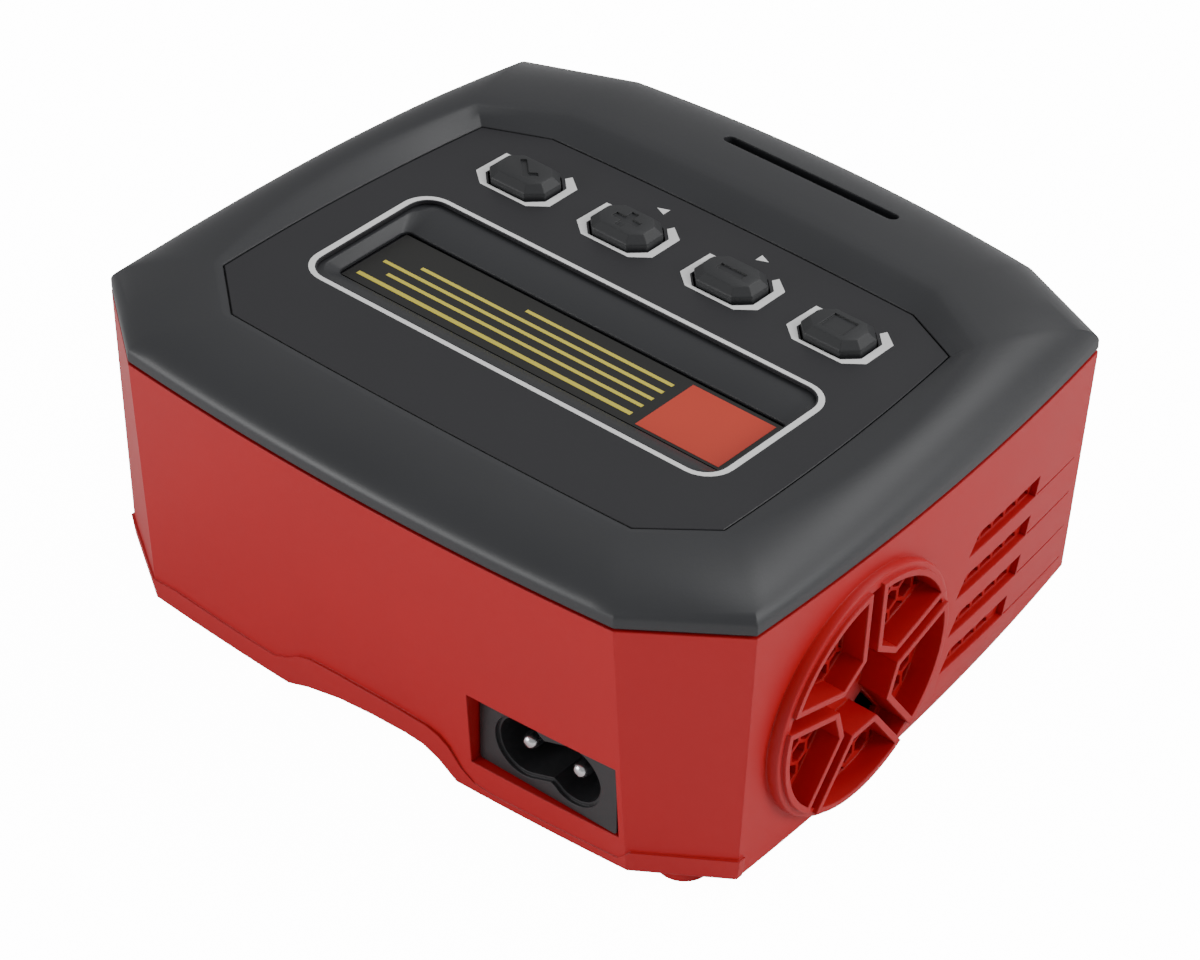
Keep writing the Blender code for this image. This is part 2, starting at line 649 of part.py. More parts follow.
def control_panel():
    overlay = loft([ring_at(inset(PANEL_PLAN, 0.25), PANEL_BOWS, lambda y: joint_z(y) + POCKET_H + 0.25),
                    ring_at(inset(PANEL_PLAN, 0.25), PANEL_BOWS, lambda y: joint_z(y) + PANEL_H)])
    sheet = part("panel_overlay", overlay, "overlay_black")
    rect = [(x, y, joint_z(y)) for x, y in rounded_rect(*WINDOW_TOP, 3.4)]
    cut(sheet, "overlay_window", loft([rect, [(x, y, z + 12) for x, y, z in rect]]))
    holes = [on_panel(prism(octagon(KEY_SIZE[0] + 2 * GAP, KEY_SIZE[1] + 2 * GAP, 2.2), 0.0, 9.0), x, KEY_Y) for x in KEY_X]
    cut(sheet, "overlay_key_holes", merged(*holes))
    lens = on_panel(box(-36.5, -0.8, CEILING_H - 1.6, 36.5, 20.6, CEILING_H - GAP))
    part("display_lens", lens, "clear_lens")
    film = on_panel(box(-33.1, 3.9, CEILING_H - 0.1, 33.1, 17.1, CEILING_H + 0.15))
    part("display_film", film, "film")
    lcd = on_panel(soft_box((-35.0, -0.2, BOARD_H + GAP, 35.0, 20.0, CEILING_H - 1.9), 0.4))
    part("lcd_module", lcd, "lcd_glass")
    for name, x in zip(KEY_NAMES, KEY_X):
        key(name, x)
        switch = on_panel(soft_box((-3.0, -3.0, BOARD_H + GAP, 3.0, 3.0, -0.1), 0.3), x, KEY_Y)
        part(name.replace("_key", "_switch"), switch, "black_resin")


def control_board():
    board = on_panel(box(-38.2, -21.4, BOARD_H - BOARD_T, 38.2, 26.4, BOARD_H))
    obj = part("control_board", board, "circuit_board")
    holes = [on_panel(cylinder(1.4, BOARD_H - 4, BOARD_H + 2, sides=12), x, y) for x, y in PANEL_SCREWS]
    cut(obj, "control_board_holes", merged(*holes))
    low = BOARD_H - BOARD_T - GAP
    for i, (x, y) in enumerate(PANEL_SCREWS):
        screw = on_panel(cylinder(2.0, low - 1.4, low, sides=16), x, y)
        obj = part(f"panel_screw_{i + 1}", screw, "steel")
        add(obj, f"panel_screw_shank_{i + 1}", on_panel(cylinder(0.9, low - 0.4, -0.6, sides=10), x, y))
    part("microcontroller", on_panel(soft_box((-5.0, 7.0, low - 1.4, 5.0, 17.0, low), 0.2)),
         "black_resin")
    part("buzzer", on_panel(cylinder(5.5, low - 6.0, low, sides=24), 22.0, -8.0), "black_resin")


# ------------------------------------------------------------------ fan and mains inlet

def fan():
    half = FAN_SIZE / 2
    x0, x1 = FAN_X
    frame = part("fan_frame", soft_box((x0, FAN_Y - half, FAN_Z - half, x1, FAN_Y + half, FAN_Z + half), 0.8),
                 "fan_black")
    duct = moved(along_x(cylinder(DUCT_R, -4.0, 12.0, sides=40)), x0, FAN_Y, FAN_Z)
    cut(frame, "fan_duct", duct)
    holes = [moved(along_x(cylinder(1.4, -4.0, 14.0, sides=12)), x0, FAN_Y + sy * 12.4, FAN_Z + sz * 12.4)
             for sy in (-1, 1) for sz in (-1, 1)]
    cut(frame, "fan_corner_holes", merged(*holes))
    cup = moved(along_x(cylinder(HUB_R + 0.4, x1 - 2.0, x1, sides=32)), 0, FAN_Y, FAN_Z)
    add(frame, "fan_motor_seat", cup)
    for i in range(3):
        arm = box(x1 - 1.6, -1.2, HUB_R - 0.6, x1 - 0.1, 1.2, DUCT_R + 0.5)
        bmesh.ops.rotate(arm, matrix=Matrix.Rotation(radians(30 + 120 * i), 3, "X"), verts=arm.verts[:])
        add(frame, f"fan_arm_{i}", moved(arm, 0, FAN_Y, FAN_Z))
    axis = (x0 + 4.0, FAN_Y, FAN_Z)
    hub = along_x(cylinder(HUB_R, -3.4, 3.4, sides=32))
    rotor = part("fan_rotor", moved(hub, *axis), "fan_black", origin=axis)
    for i in range(7):
        blade = box(-0.45, -3.6, HUB_R - 0.8, 0.45, 3.6, BLADE_R)
        bmesh.ops.rotate(blade, matrix=Matrix.Rotation(radians(58), 3, "Z"), verts=blade.verts[:])
        bmesh.ops.rotate(blade, matrix=Matrix.Rotation(2 * pi * i / 7, 3, "X"), verts=blade.verts[:])
        add(rotor, f"fan_blade_{i}", blade)
        bpy.data.objects[f"fan_blade_{i}"].location = rotor.location


def mains_inlet():
    width, depth, height = INLET_SIZE
    y1 = INLET_FACE_Y
    body = part("mains_inlet", soft_box((INLET_X - width / 2, y1 - depth, INLET_Z - height / 2,
                                         INLET_X + width / 2, y1, INLET_Z + height / 2), 0.3), "black_resin")
    well = figure_eight(4.25, 1.9)
    cut(body, "inlet_well", moved(along_y(prism([(x, -z) for x, z in well], -11.0, 3.0)), INLET_X, y1, INLET_Z))
    root_y = y1 - depth - 2.0
    for name, side in (("inlet_pin_line", 1), ("inlet_pin_neutral", -1)):
        x = INLET_X + side * PIN_SPACING / 2
        hole = moved(along_y(cylinder(PIN_R + 0.25, -4.0, 12.0, sides=16)), x, root_y, INLET_Z)
        cut(body, f"{name}_hole", hole)
        length = y1 - 0.8 - root_y
        pin = moved(along_y(cylinder(PIN_R, 0.0, length - 1.0, sides=20)), x, root_y, INLET_Z)
        obj = part(name, pin, "plated_metal", smooth=True)
        tip = moved(along_y(cylinder(PIN_R, length - 1.0, length, sides=20, top_radius=0.45)), x, root_y, INLET_Z)
        add(obj, f"{name}_tip", tip)


def figure_eight(radius, waist):
    """Outline of the two-pin well: two round ends joined by a narrower waist."""
    reach = PIN_SPACING / 2
    points = []
    for i in range(9):
        angle = radians(-60 + 120 * i / 8)
        points.append((reach + radius * cos(angle) * 1.03, radius * sin(angle)))
    points += [(reach - 1.2, radius * 0.97), (0.9, waist + 1.2), (0.0, waist + 0.9), (-0.9, waist + 1.2),
               (1.2 - reach, radius * 0.97)]
    for i in range(9):
        angle = radians(120 + 120 * i / 8)
        points.append((-reach + radius * cos(angle) * 1.03, radius * sin(angle)))
    points += [(1.2 - reach, -radius * 0.97), (-1.4, -waist - 0.6), (1.4, -waist - 0.6), (reach - 1.2, -radius * 0.97)]
    return anticlockwise(points)


# ------------------------------------------------------------------ battery side

def output_outline(grow, x0, x1):
    """Two-pole battery socket: a rectangle with one end cut to a point, so it fits one way only."""
    a, b = 7.9 + grow, 4.1 + grow
    points = [(-a, -b), (a - 2.4, -b), (a, -b + 2.4), (a, b - 2.4), (a - 2.4, b), (-a, b)]
    return along_x(prism([(-z, y) for y, z in points], x0, x1))


def output_socket():
    face = -SOCKET_SUNK

    def rod(radius, dy, x0, x1):
        return moved(along_x(cylinder(radius, x0, x1, sides=24)), 0.0, dy, 0.0)

    body = part("battery_output_socket", on_battery_wall(output_outline(0.0, face - 16.0, face), *OUTPUT_AT),
                "amber_nylon")
    wells = merged(rod(3.0, -3.6, face - 12.0, face + 3), rod(3.0, 3.6, face - 12.0, face + 3))
    bores = merged(rod(2.05, -3.6, face - 20.0, face - 8), rod(2.05, 3.6, face - 20.0, face - 8))
    cut(body, "output_wells", on_battery_wall(wells, *OUTPUT_AT))
    cut(body, "output_bores", on_battery_wall(bores, *OUTPUT_AT))
    for name, dy in (("output_contact_negative", -3.6), ("output_contact_positive", 3.6)):
        part(name, on_battery_wall(rod(1.75, dy, face - 18.0, face - 4.4), *OUTPUT_AT), "gold_contact", smooth=True)


def balance_sockets():
    """Five keyed sockets in two rows, for packs of two to six cells, on an upright board."""
    face = -SOCKET_SUNK
    back = face - 8.0
    across, rise = BALANCE_SIZE[0] / 2, (BALANCE_SIZE[1] - BALANCE_ROW) / 2
    half = BALANCE_ROW / 2
    for row, z in zip(BALANCE_PINS, (rise, -rise)):
        total = sum(2.5 * (n - 1) + 4.8 for n in row)
        spare = (BALANCE_SIZE[0] - total) / (len(row) - 1)
        y = across
        for pins in row:
            width = 2.5 * (pins - 1) + 4.8
            shell = part(f"balance_socket_{pins - 1}s",
                         on_battery_wall(box(back, y - width, z - half, face, y, z + half), *BALANCE_AT), "white_nylon")
            well = box(back + 1.6, y - width + 0.8, z - half + 0.8, face + 2, y - 0.8, z + half - 0.8)
            cut(shell, f"balance_well_{pins}", on_battery_wall(well, *BALANCE_AT))
            pegs = []
            for i in range(pins):
                py = y - 2.4 - 2.5 * i
                pegs.append(box(back + 0.8, py - 0.35, z - 0.65, back + 5.4, py + 0.35, z + 0.05))
            add(shell, f"balance_pegs_{pins}", on_battery_wall(merged(*pegs), *BALANCE_AT))
            y -= width + spare
    low = DECK_Z + GAP - BALANCE_AT[1]
    board = box(back - GAP - BOARD_T, -across - 1.0, low, back - GAP, across + 1.0, rise + half + 1.5)
    part("balance_board", on_battery_wall(board, *BALANCE_AT), "circuit_board")


# ------------------------------------------------------------------ power electronics

def main_board():
    x0, y0, x1, y1 = MAIN_BOARD
    obj = part("main_board", box(x0, y0, MAIN_BOARD_Z, x1, y1, MAIN_BOARD_Z + BOARD_T), "circuit_board")
    holes = [cylinder(1.5, MAIN_BOARD_Z - 2, MAIN_BOARD_Z + 4, x, y, sides=12) for x, y in BOARD_SCREWS]
    cut(obj, "main_board_holes", merged(*holes))
    for i, (x, y) in enumerate(BOARD_SCREWS):
        head = part(f"main_board_screw_{i + 1}", cylinder(2.3, DECK_Z, DECK_Z + 1.6, x, y, sides=16), "steel")
        add(head, f"main_board_shank_{i + 1}", cylinder(0.95, MAIN_BOARD_Z - 3, DECK_Z + 0.4, x, y, sides=10))


def torus(name, x, y, z, major, minor, finish):
    bpy.ops.mesh.primitive_torus_add(major_segments=20, minor_segments=8, major_radius=major * MM,
                                     minor_radius=minor * MM, location=(x * MM, y * MM, z * MM))
    obj = bpy.context.active_object
    obj.name = name
    obj.data.name = name
    obj.data.materials.append(material(finish))
    for group in list(obj.users_collection):
        group.objects.unlink(obj)
    PARTS.objects.link(obj)
    return obj


def power_parts():
    z = DECK_Z
    core = part("transformer_core", box(-2.0, -4.0, z, 16.0, 20.0, z + 21.0), "ferrite")
    cut(core, "core_tunnel", box(-6.0, -0.2, z - 2, 20.0, 16.2, z + 16.3))
    part("transformer_winding", soft_box((-6.0, 0.2, z, 20.0, 15.8, z + 15.9), 1.2), "winding_tape")
    part("bulk_capacitor", cylinder(8.0, z, z + 22.0, -22.0, 20.0, sides=28), "capacitor_sleeve", smooth=True)
    torus("mains_filter_choke", -23.0, 0.0, z + 3.9, 6.6, 3.8, "copper_wire")
    part("film_capacitor", soft_box((-32.0, -19.4, z, -14.0, -11.4, z + 12.0), 0.5), "film_yellow")
    fuse = moved(along_x(cylinder(2.6, -10.0, 10.0, sides=16)), -22.0, -25.0, z + 2.7)
    part("mains_fuse", fuse, "white_nylon", smooth=True)
    sink = part("heat_sink", box(-8.0, -14.6, z, 24.0, -12.2, z + 19.0), "aluminium")
    for i in range(6):
        fin = -7.4 + i * 5.9
        add(sink, f"heat_sink_fin_{i}", box(fin, -12.4, z, fin + 1.4, -7.0, z + 19.0))
    for name, x in (("primary_transistor", -3.0), ("secondary_transistor", 13.0)):
        part(name, soft_box((x - 5.0, -19.4, z, x + 5.0, -14.9, z + 15.0), 0.3), "black_resin")
    torus("output_inductor", 28.2, 8.0, z + 3.2, 4.4, 3.0, "copper_wire")
    part("output_capacitor", cylinder(5.0, z, z + 16.0, 28.0, 24.0, sides=24), "capacitor_sleeve", smooth=True)


def case_screws():
    for i, (x, y) in enumerate(POSTS):
        head = part(f"case_screw_{i + 1}", cylinder(2.5, 2.9, 4.7, x, y, sides=20), "steel")
        add(head, f"case_screw_shank_{i + 1}", cylinder(1.05, 4.3, POST_SPLIT_Z + 8, x, y, sides=10))
        cut(head, f"case_screw_slot_{i + 1}", box(x - 1.5, y - 0.25, 2.0, x + 1.5, y + 0.25, 3.7))
        cut(head, f"case_screw_cross_{i + 1}", box(x - 0.25, y - 1.5, 2.0, x + 0.25, y + 1.5, 3.7))


def centre_on_origin():
    step = Vector((*CENTRE, 0.0)) * MM
    for obj in list(PARTS.objects) + list(CUTTERS.objects):
        obj.location += step


clear_scene()
PARTS = new_collection("balance_charger")
CUTTERS = new_collection("cutters")
lower_case()
top_cover()
control_panel()
control_board()
fan()
mains_inlet()
output_socket()
balance_sockets()
main_board()
power_parts()
case_screws()
centre_on_origin()
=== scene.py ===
"""Looks of the balance battery charger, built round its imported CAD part.

Lengths are millimetres in the charger's own plan; finished meshes are moved onto the frame and scaled to
metres. -Y is the user's front, +Y the back with the mains inlet, -X the fan side, +X the battery side.
"""
import json
from math import atan2, cos, hypot, pi, radians, sin

import bmesh
import bpy
from mathutils import Matrix, Vector


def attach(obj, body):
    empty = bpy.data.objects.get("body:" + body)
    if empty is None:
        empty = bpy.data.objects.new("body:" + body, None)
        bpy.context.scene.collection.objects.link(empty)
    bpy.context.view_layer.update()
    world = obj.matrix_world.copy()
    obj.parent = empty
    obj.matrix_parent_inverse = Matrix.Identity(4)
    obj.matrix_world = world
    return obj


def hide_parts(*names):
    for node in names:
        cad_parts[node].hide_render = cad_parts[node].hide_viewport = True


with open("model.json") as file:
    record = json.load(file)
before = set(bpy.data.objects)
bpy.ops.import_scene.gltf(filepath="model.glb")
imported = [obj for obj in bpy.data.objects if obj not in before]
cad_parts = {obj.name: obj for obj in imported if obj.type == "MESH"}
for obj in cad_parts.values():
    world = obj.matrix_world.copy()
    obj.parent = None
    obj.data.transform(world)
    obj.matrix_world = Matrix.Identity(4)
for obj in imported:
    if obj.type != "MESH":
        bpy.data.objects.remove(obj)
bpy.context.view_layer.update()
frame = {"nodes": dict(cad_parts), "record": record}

MM = 0.001
GAP = 0.3               # between case and cover, and round each key
FIT = 0.35              # round a socket in its opening
PRINT = 0.03            # thickness of a printed mark

CENTRE = (0.85, 0.3)    # moves the overall box's centre, fan ring included, onto the origin

# Driving heights and slopes
SLOPE = 0.0437          # rise of the joint and of the panel per millimetre towards the back
JOINT_Z = 42.4          # height of the joint between case and cover at y = 0
BASE_Z = 2.0            # underside of the case, above the feet
WALL = 2.4
FLOOR_Z = 4.2           # upper face of the case's floor

# Plan outlines: front corner, side's front end, side's back end, back corner, for x > 0
JOINT_PLAN = ((34.8, -49.2), (50.8, -42.3), (56.2, 38.1), (42.1, 49.1))
BASE_PLAN = ((33.4, -47.2), (48.6, -41.3), (54.4, 38.2), (42.4, 46.2))
CREST_PLAN = ((32.3, -30.2), (44.0, -23.0), (44.9, 29.9), (35.4, 37.9))
PANEL_PLAN = ((31.9, -25.6), (41.4, -21.1), (43.6, 29.2), (34.7, 36.9))
JOINT_BOWS = (2.4, 1.9, 2.0)    # how far the front, the sides and the back bow out
BASE_BOWS = (2.0, 1.8, 1.7)
CREST_BOWS = (1.2, 4.0, 0.9)
PANEL_BOWS = (0.6, 0.9, 0.5)

# Top cover, heights above the joint
SKIRT = 1.7
PANEL_H = 5.45          # face of the printed overlay
POCKET_H = 4.7          # floor of the pocket that the overlay lies in
CEILING_H = 2.8         # inside of the cover's top
CREST_FRONT_H = 7.5
CREST_BACK_H = 5.7

# Control panel
KEY_X = (27.6, 9.2, -9.2, -27.6)
KEY_NAMES = ("enter_key", "increase_key", "decrease_key", "stop_key")
KEY_Y = -14.6
KEY_SIZE = (10.1, 7.5)
KEY_TOP_H = 7.45
ARROWS_X = (8.9, -8.8)
ARROWS_Y = -22.0
WINDOW_TOP = (-35.1, -2.6, 35.1, 21.8)
WINDOW_FLOOR = (-33.6, 3.4, 33.6, 17.6)
WINDOW_CORNER = 3.4
FILM = (-33.1, 3.9, 33.1, 17.1)
LABEL = (-32.4, 4.6, -18.4, 16.6)
LINES_X = -16.6         # where every printed line of the display starts

# Fan side
FAN_Y = 15.3
FAN_Z = 20.9
RING_R = 18.7
RING_IN = 17.2
RING_PROUD = 1.4
GRILLE_DEPTH = 2.6      # floor of the channels between the pockets, below the wall's face
GRILLE_FLOOR = 0.9      # thickness of that floor
MESH_DEPTH = 1.4        # face of the mesh in the pockets, below the wall's face
RIM_TOP = 2.0           # top of the pockets' rims, above the wall's face
FAN_SIZE = 30.0
DUCT_R = 14.2
HUB_R = 6.8
BLADE_R = 13.4
FAN_X = (-48.6, -38.6)
FAN_HOLES = 12.4        # each screw hole of the fan, across and up from its middle
BLADES = 7
POCKET_TURN = 72        # degrees from one pocket of the grille to the next
POCKET_ANGLES = tuple(54 + POCKET_TURN * i for i in range(5))
POCKET_NOSE = 5.8
CHANNEL = 2.4           # width of the channel between two pockets
SLOT = (8.2, -0.9, 15.8, 0.9)    # slot through each channel, for a channel along +X
HEX_PITCH = 3.3
HEX_ROW = 0.866         # distance between two rows of a honeycomb, in pitches
HEX_R = 1.56
# Each vent row: its height at the back end, then its back and front ends
VENT_ROWS = ((27.3, -10.4, -28.9), (21.3, -8.2, -27.5), (15.2, -7.3, -26.1), (9.4, -6.2, -23.6))
VENT_FALL = 0.07        # how much each row drops per millimetre towards the front
VENT_HEIGHT = 3.2
VENT_LINE_END = -39.5   # how far forward the thin line below each row runs

# Mains inlet
INLET_X = -29.4
INLET_Z = 13.9
INLET_SIZE = (23.4, 12.0, 11.6)
INLET_FACE_Y = 46.7
PIN_SPACING = 8.6
PIN_R = 1.2

# Back
BAND_Y = 37.2           # front face of the band and of the arch's backing
ARCH_Y = 39.5
PAST_BACK = 60.0

# Battery side
BALANCE_PINS = ((3, 4, 5), (6, 7))    # pins of each socket, upper row and lower row
BALANCE_AT = (-9.6, 20.7)
BALANCE_SIZE = (40.6, 13.6)
BALANCE_ROW = 5.8       # height of a row
BALANCE_PITCH = 2.5
BALANCE_ENDS = 4.8      # what a socket is wider than its row of pins
OUTPUT_AT = (22.4, 20.7)
CONTACT_Y = 3.6
SOCKET_SUNK = 0.9

# Feet and posts
POSTS = ((45.6, 38.2), (-45.6, 38.2), (41.0, -38.5), (-41.0, -38.5))
POST_R = 3.8
FOOT_R = 4.0
FOOT_BORE_R = 2.9
SCREW_BORE_R = 1.4
POST_SPLIT_Z = 20.0


def joint_z(y):
    return JOINT_Z + SLOPE * y


def box(x0, y0, z0, x1, y1, z1):
    bm = bmesh.new()
    bmesh.ops.create_cube(bm, size=1.0)
    bmesh.ops.scale(bm, vec=(x1 - x0, y1 - y0, z1 - z0), verts=bm.verts[:])
    bmesh.ops.translate(bm, vec=((x0 + x1) / 2, (y0 + y1) / 2, (z0 + z1) / 2), verts=bm.verts[:])
    return bm


def soft_box(corners, radius):
    """A box with its edges bevelled."""
    bm = box(*corners)
    bmesh.ops.bevel(bm, geom=bm.edges[:], offset=radius, segments=1, affect="EDGES", profile=0.5)
    return bm


def cylinder(radius, z0, z1, x=0.0, y=0.0, sides=24):
    bm = bmesh.new()
    bmesh.ops.create_cone(bm, cap_ends=True, segments=sides, radius1=radius, radius2=radius, depth=z1 - z0)
    bmesh.ops.translate(bm, vec=(x, y, (z0 + z1) / 2), verts=bm.verts[:])
    return bm


def along_x(bm):
    """Turns a shape built along Z so that it lies along X."""
    bmesh.ops.rotate(bm, matrix=Matrix.Rotation(pi / 2, 3, "Y"), verts=bm.verts[:])
    return bm


def along_y(bm):
    """Turns a shape built along Z so that it lies along Y."""
    bmesh.ops.rotate(bm, matrix=Matrix.Rotation(-pi / 2, 3, "X"), verts=bm.verts[:])
    return bm


def moved(bm, x, y, z):
    bmesh.ops.translate(bm, vec=(x, y, z), verts=bm.verts[:])
    return bm


def prism(points, low, high):
    """A flat outline extruded along Z from low to high."""
    bm = bmesh.new()
    face = bm.faces.new([bm.verts.new((x, y, low)) for x, y in points])
    top = bmesh.ops.extrude_face_region(bm, geom=[face])
    lifted = [v for v in top["geom"] if isinstance(v, bmesh.types.BMVert)]
    bmesh.ops.translate(bm, vec=(0, 0, high - low), verts=lifted)
    return bm


def facing_back(points, y0, y1):
    """An outline of (x, z) points extruded along Y from y0 to y1."""
    return along_y(prism([(x, -z) for x, z in points], y0, y1))


def loft(rings):
    """A closed solid through rings of equally many points, capped at both ends."""
    bm = bmesh.new()
    loops = [[bm.verts.new(point) for point in ring] for ring in rings]
    count = len(loops[0])
    for low, high in zip(loops, loops[1:]):
        for i in range(count):
            j = (i + 1) % count
            bm.faces.new((low[i], low[j], high[j], high[i]))
    bm.faces.new(reversed(loops[0]))
    bm.faces.new(loops[-1])
    return bm


def bowed(start, end, bow, steps):
    """Points from start up to, but not including, end, on a shallow arc that bows to the right."""
    length = hypot(end[0] - start[0], end[1] - start[1])
    side = ((end[1] - start[1]) / length, (start[0] - end[0]) / length)
    points = []
    for i in range(steps):
        t = i / steps
        rise = 4 * bow * t * (1 - t)
        points.append((start[0] + (end[0] - start[0]) * t + side[0] * rise,
                       start[1] + (end[1] - start[1]) * t + side[1] * rise))
    return points


def inset(corners, distance):
    """The four corners at x > 0 after every edge of the outline moves inwards."""
    ring = list(corners) + [(-x, y) for x, y in reversed(corners)]
    count = len(ring)
    result = []
    for i in range(len(corners)):
        lines = []
        for a, b in ((ring[i - 1], ring[i]), (ring[i], ring[(i + 1) % count])):
            length = hypot(b[0] - a[0], b[1] - a[1])
            normal = (-(b[1] - a[1]) / length, (b[0] - a[0]) / length)
            lines.append((normal, normal[0] * a[0] + normal[1] * a[1] + distance))
        (n, c), (m, d) = lines
        det = n[0] * m[1] - n[1] * m[0]
        result.append(((c * m[1] - d * n[1]) / det, (n[0] * d - m[0] * c) / det))
    return tuple(result)


def between(a, b, share):
    """The numbers that lie a share of the way from those of a to those of b."""
    return tuple(p + (q - p) * share for p, q in zip(a, b))


def corners_between(low, high, share):
    return tuple(between(a, b, share) for a, b in zip(low, high))


def rectangle(x0, y0, x1, y1):
    return [(x0, y0), (x1, y0), (x1, y1), (x0, y1)]


def rounded_rect(x0, y0, x1, y1, radius, steps):
    points = []
    centres = ((x1 - radius, y0 + radius, -90), (x1 - radius, y1 - radius, 0),
               (x0 + radius, y1 - radius, 90), (x0 + radius, y0 + radius, 180))
    for cx, cy, start in centres:
        for i in range(steps + 1):
            angle = radians(start + 90 * i / steps)
            points.append((cx + radius * cos(angle), cy + radius * sin(angle)))
    return points


def octagon(width, height, corner):
    a, b = width / 2, height / 2
    return [(a - corner, -b), (a, corner - b), (a, b - corner), (a - corner, b),
            (corner - a, b), (-a, b - corner), (-a, corner - b), (corner - a, -b)]


def circle(radius, sides=96):
    return [(radius * cos(2 * pi * i / sides), radius * sin(2 * pi * i / sides)) for i in range(sides)]


def on_panel(bm, x=0.0, y=0.0):
    """Moves a shape to (x, y) and shears it along the panel's slope; its heights are above the joint."""
    for vert in bm.verts:
        vert.co.x += x
        vert.co.y += y
        vert.co.z += joint_z(vert.co.y)
    return bm


def side_x(y, z):
    """Outer face of the case's side wall at a place and height, for x > 0."""
    widths = []
    for corners, bows in ((BASE_PLAN, BASE_BOWS), (JOINT_PLAN, JOINT_BOWS)):
        (x0, y0), (x1, y1) = corners[1], corners[2]
        t = (y - y0) / (y1 - y0)
        widths.append(x0 + (x1 - x0) * t + 4 * bows[1] * t * (1 - t))
    rise = (z - BASE_Z) / (joint_z(y) - BASE_Z)
    return widths[0] + (widths[1] - widths[0]) * rise


def on_fan_wall(bm):
    """Places a shape on the fan side: built flat, its X runs back, its Y up and its Z out of the wall."""
    reach = 15.0
    here = side_x(FAN_Y, FAN_Z)
    lean = (side_x(FAN_Y, FAN_Z + reach) - side_x(FAN_Y, FAN_Z - reach)) / (2 * reach)
    turn = (side_x(FAN_Y + reach, FAN_Z) - side_x(FAN_Y - reach, FAN_Z)) / (2 * reach)
    out = Vector((-1.0, -turn, -lean)).normalized()
    across = Vector((-turn, 1.0, 0.0)).normalized()
    up = across.cross(out)
    spin = Matrix((across, up, out)).transposed().to_4x4()
    bmesh.ops.transform(bm, matrix=Matrix.Translation((-here, FAN_Y, FAN_Z)) @ spin, verts=bm.verts[:])
    return bm


def on_battery_wall(bm, y, z):
    """Places a shape on the battery side: its X runs out of the wall from the wall's face at (y, z)."""
    reach = 12.0
    turn = (side_x(y + reach, z) - side_x(y - reach, z)) / (2 * reach)
    out = Vector((1.0, -turn, 0.0)).normalized()
    across = Vector((turn, 1.0, 0.0)).normalized()
    spin = Matrix((out, across, Vector((0.0, 0.0, 1.0)))).transposed().to_4x4()
    bmesh.ops.transform(bm, matrix=Matrix.Translation((side_x(y, z), y, z)) @ spin, verts=bm.verts[:])
    return bm


def spun(points, degrees):
    c, s = cos(radians(degrees)), sin(radians(degrees))
    return [(x * c - y * s, x * s + y * c) for x, y in points]


def inside(point, outline, margin):
    """True if the point lies inside an anticlockwise convex outline by at least margin."""
    for a, b in zip(outline, outline[1:] + outline[:1]):
        length = hypot(b[0] - a[0], b[1] - a[1])
        cross = ((b[0] - a[0]) * (point[1] - a[1]) - (b[1] - a[1]) * (point[0] - a[0])) / length
        if cross < margin:
            return False
    return True


def hexagon(x, y, radius):
    angles = [radians(60 * i + 30) for i in range(6)]
    return [(x + radius * cos(angle), y + radius * sin(angle)) for angle in angles]


def hex_centres(limit):
    """Centres of a honeycomb that covers a square of half width limit."""
    rows = int(limit / (HEX_PITCH * HEX_ROW)) + 1
    columns = int(limit / HEX_PITCH) + 1
    for row in range(-rows, rows + 1):
        for column in range(-columns, columns + 1):
            yield (column + 0.5 * (row % 2)) * HEX_PITCH, row * HEX_PITCH * HEX_ROW


def anticlockwise(points):
    area = sum(a[0] * b[1] - b[0] * a[1] for a, b in zip(points, points[1:] + points[:1]))
    return points if area > 0 else points[::-1]


def trimmed(points, low, high):
    """The part of a convex outline that lies between two levels."""
    for sign, level in ((1, low), (-1, -high)):
        kept = []
        for a, b in zip(points, points[1:] + points[:1]):
            over_a, over_b = sign * a[1] - level, sign * b[1] - level
            if over_a >= 0:
                kept.append(a)
            if over_a * over_b < 0:
                t = over_a / (over_a - over_b)
                kept.append((a[0] + (b[0] - a[0]) * t, a[1] + (b[1] - a[1]) * t))
        points = kept
    return points


def crest_h(y):
    """Height of the cover's crest above the joint, which falls towards the back."""
    front, back = CREST_PLAN[1][1], CREST_PLAN[2][1]
    t = min(max((y - front) / (back - front), 0.0), 1.0)
    return CREST_FRONT_H + (CREST_BACK_H - CREST_FRONT_H) * t


def plan(corners, bows):
    """The full outline, anticlockwise from above, from the four corners at x > 0."""
    front, side, back = bows
    ring = list(corners) + [(-x, y) for x, y in reversed(corners)]
    chamfer, flank = (0, 2), (side, 28)
    edges = (chamfer, flank, chamfer, (back, 24), chamfer, flank, chamfer, (front, 24))
    points = []
    for i, (bow, count) in enumerate(edges):
        points += bowed(ring[i], ring[(i + 1) % len(ring)], bow, count)
    return points


def flat(height):
    return lambda y: height


def above_joint(height):
    return lambda y: joint_z(y) + height


def ring_at(corners, bows, height):
    """The full outline as points in space, where height is a function of y."""
    return [(x, y, height(y)) for x, y in plan(corners, bows)]


def merged(pieces):
    """One bmesh that holds several separate closed shapes."""
    total = bmesh.new()
    for shape in pieces:
        carrier = bpy.data.meshes.new("carrier")
        shape.to_mesh(carrier)
        shape.free()
        total.from_mesh(carrier)
        bpy.data.meshes.remove(carrier)
    return total


# ------------------------------------------------------------------ materials

def node(tree, kind, **values):
    """A new shader node with its inputs and its own settings filled in."""
    made = tree.nodes.new(kind)
    for key, value in values.items():
        if key in made.inputs:
            made.inputs[key].default_value = value
        else:
            setattr(made, key, value)
    return made


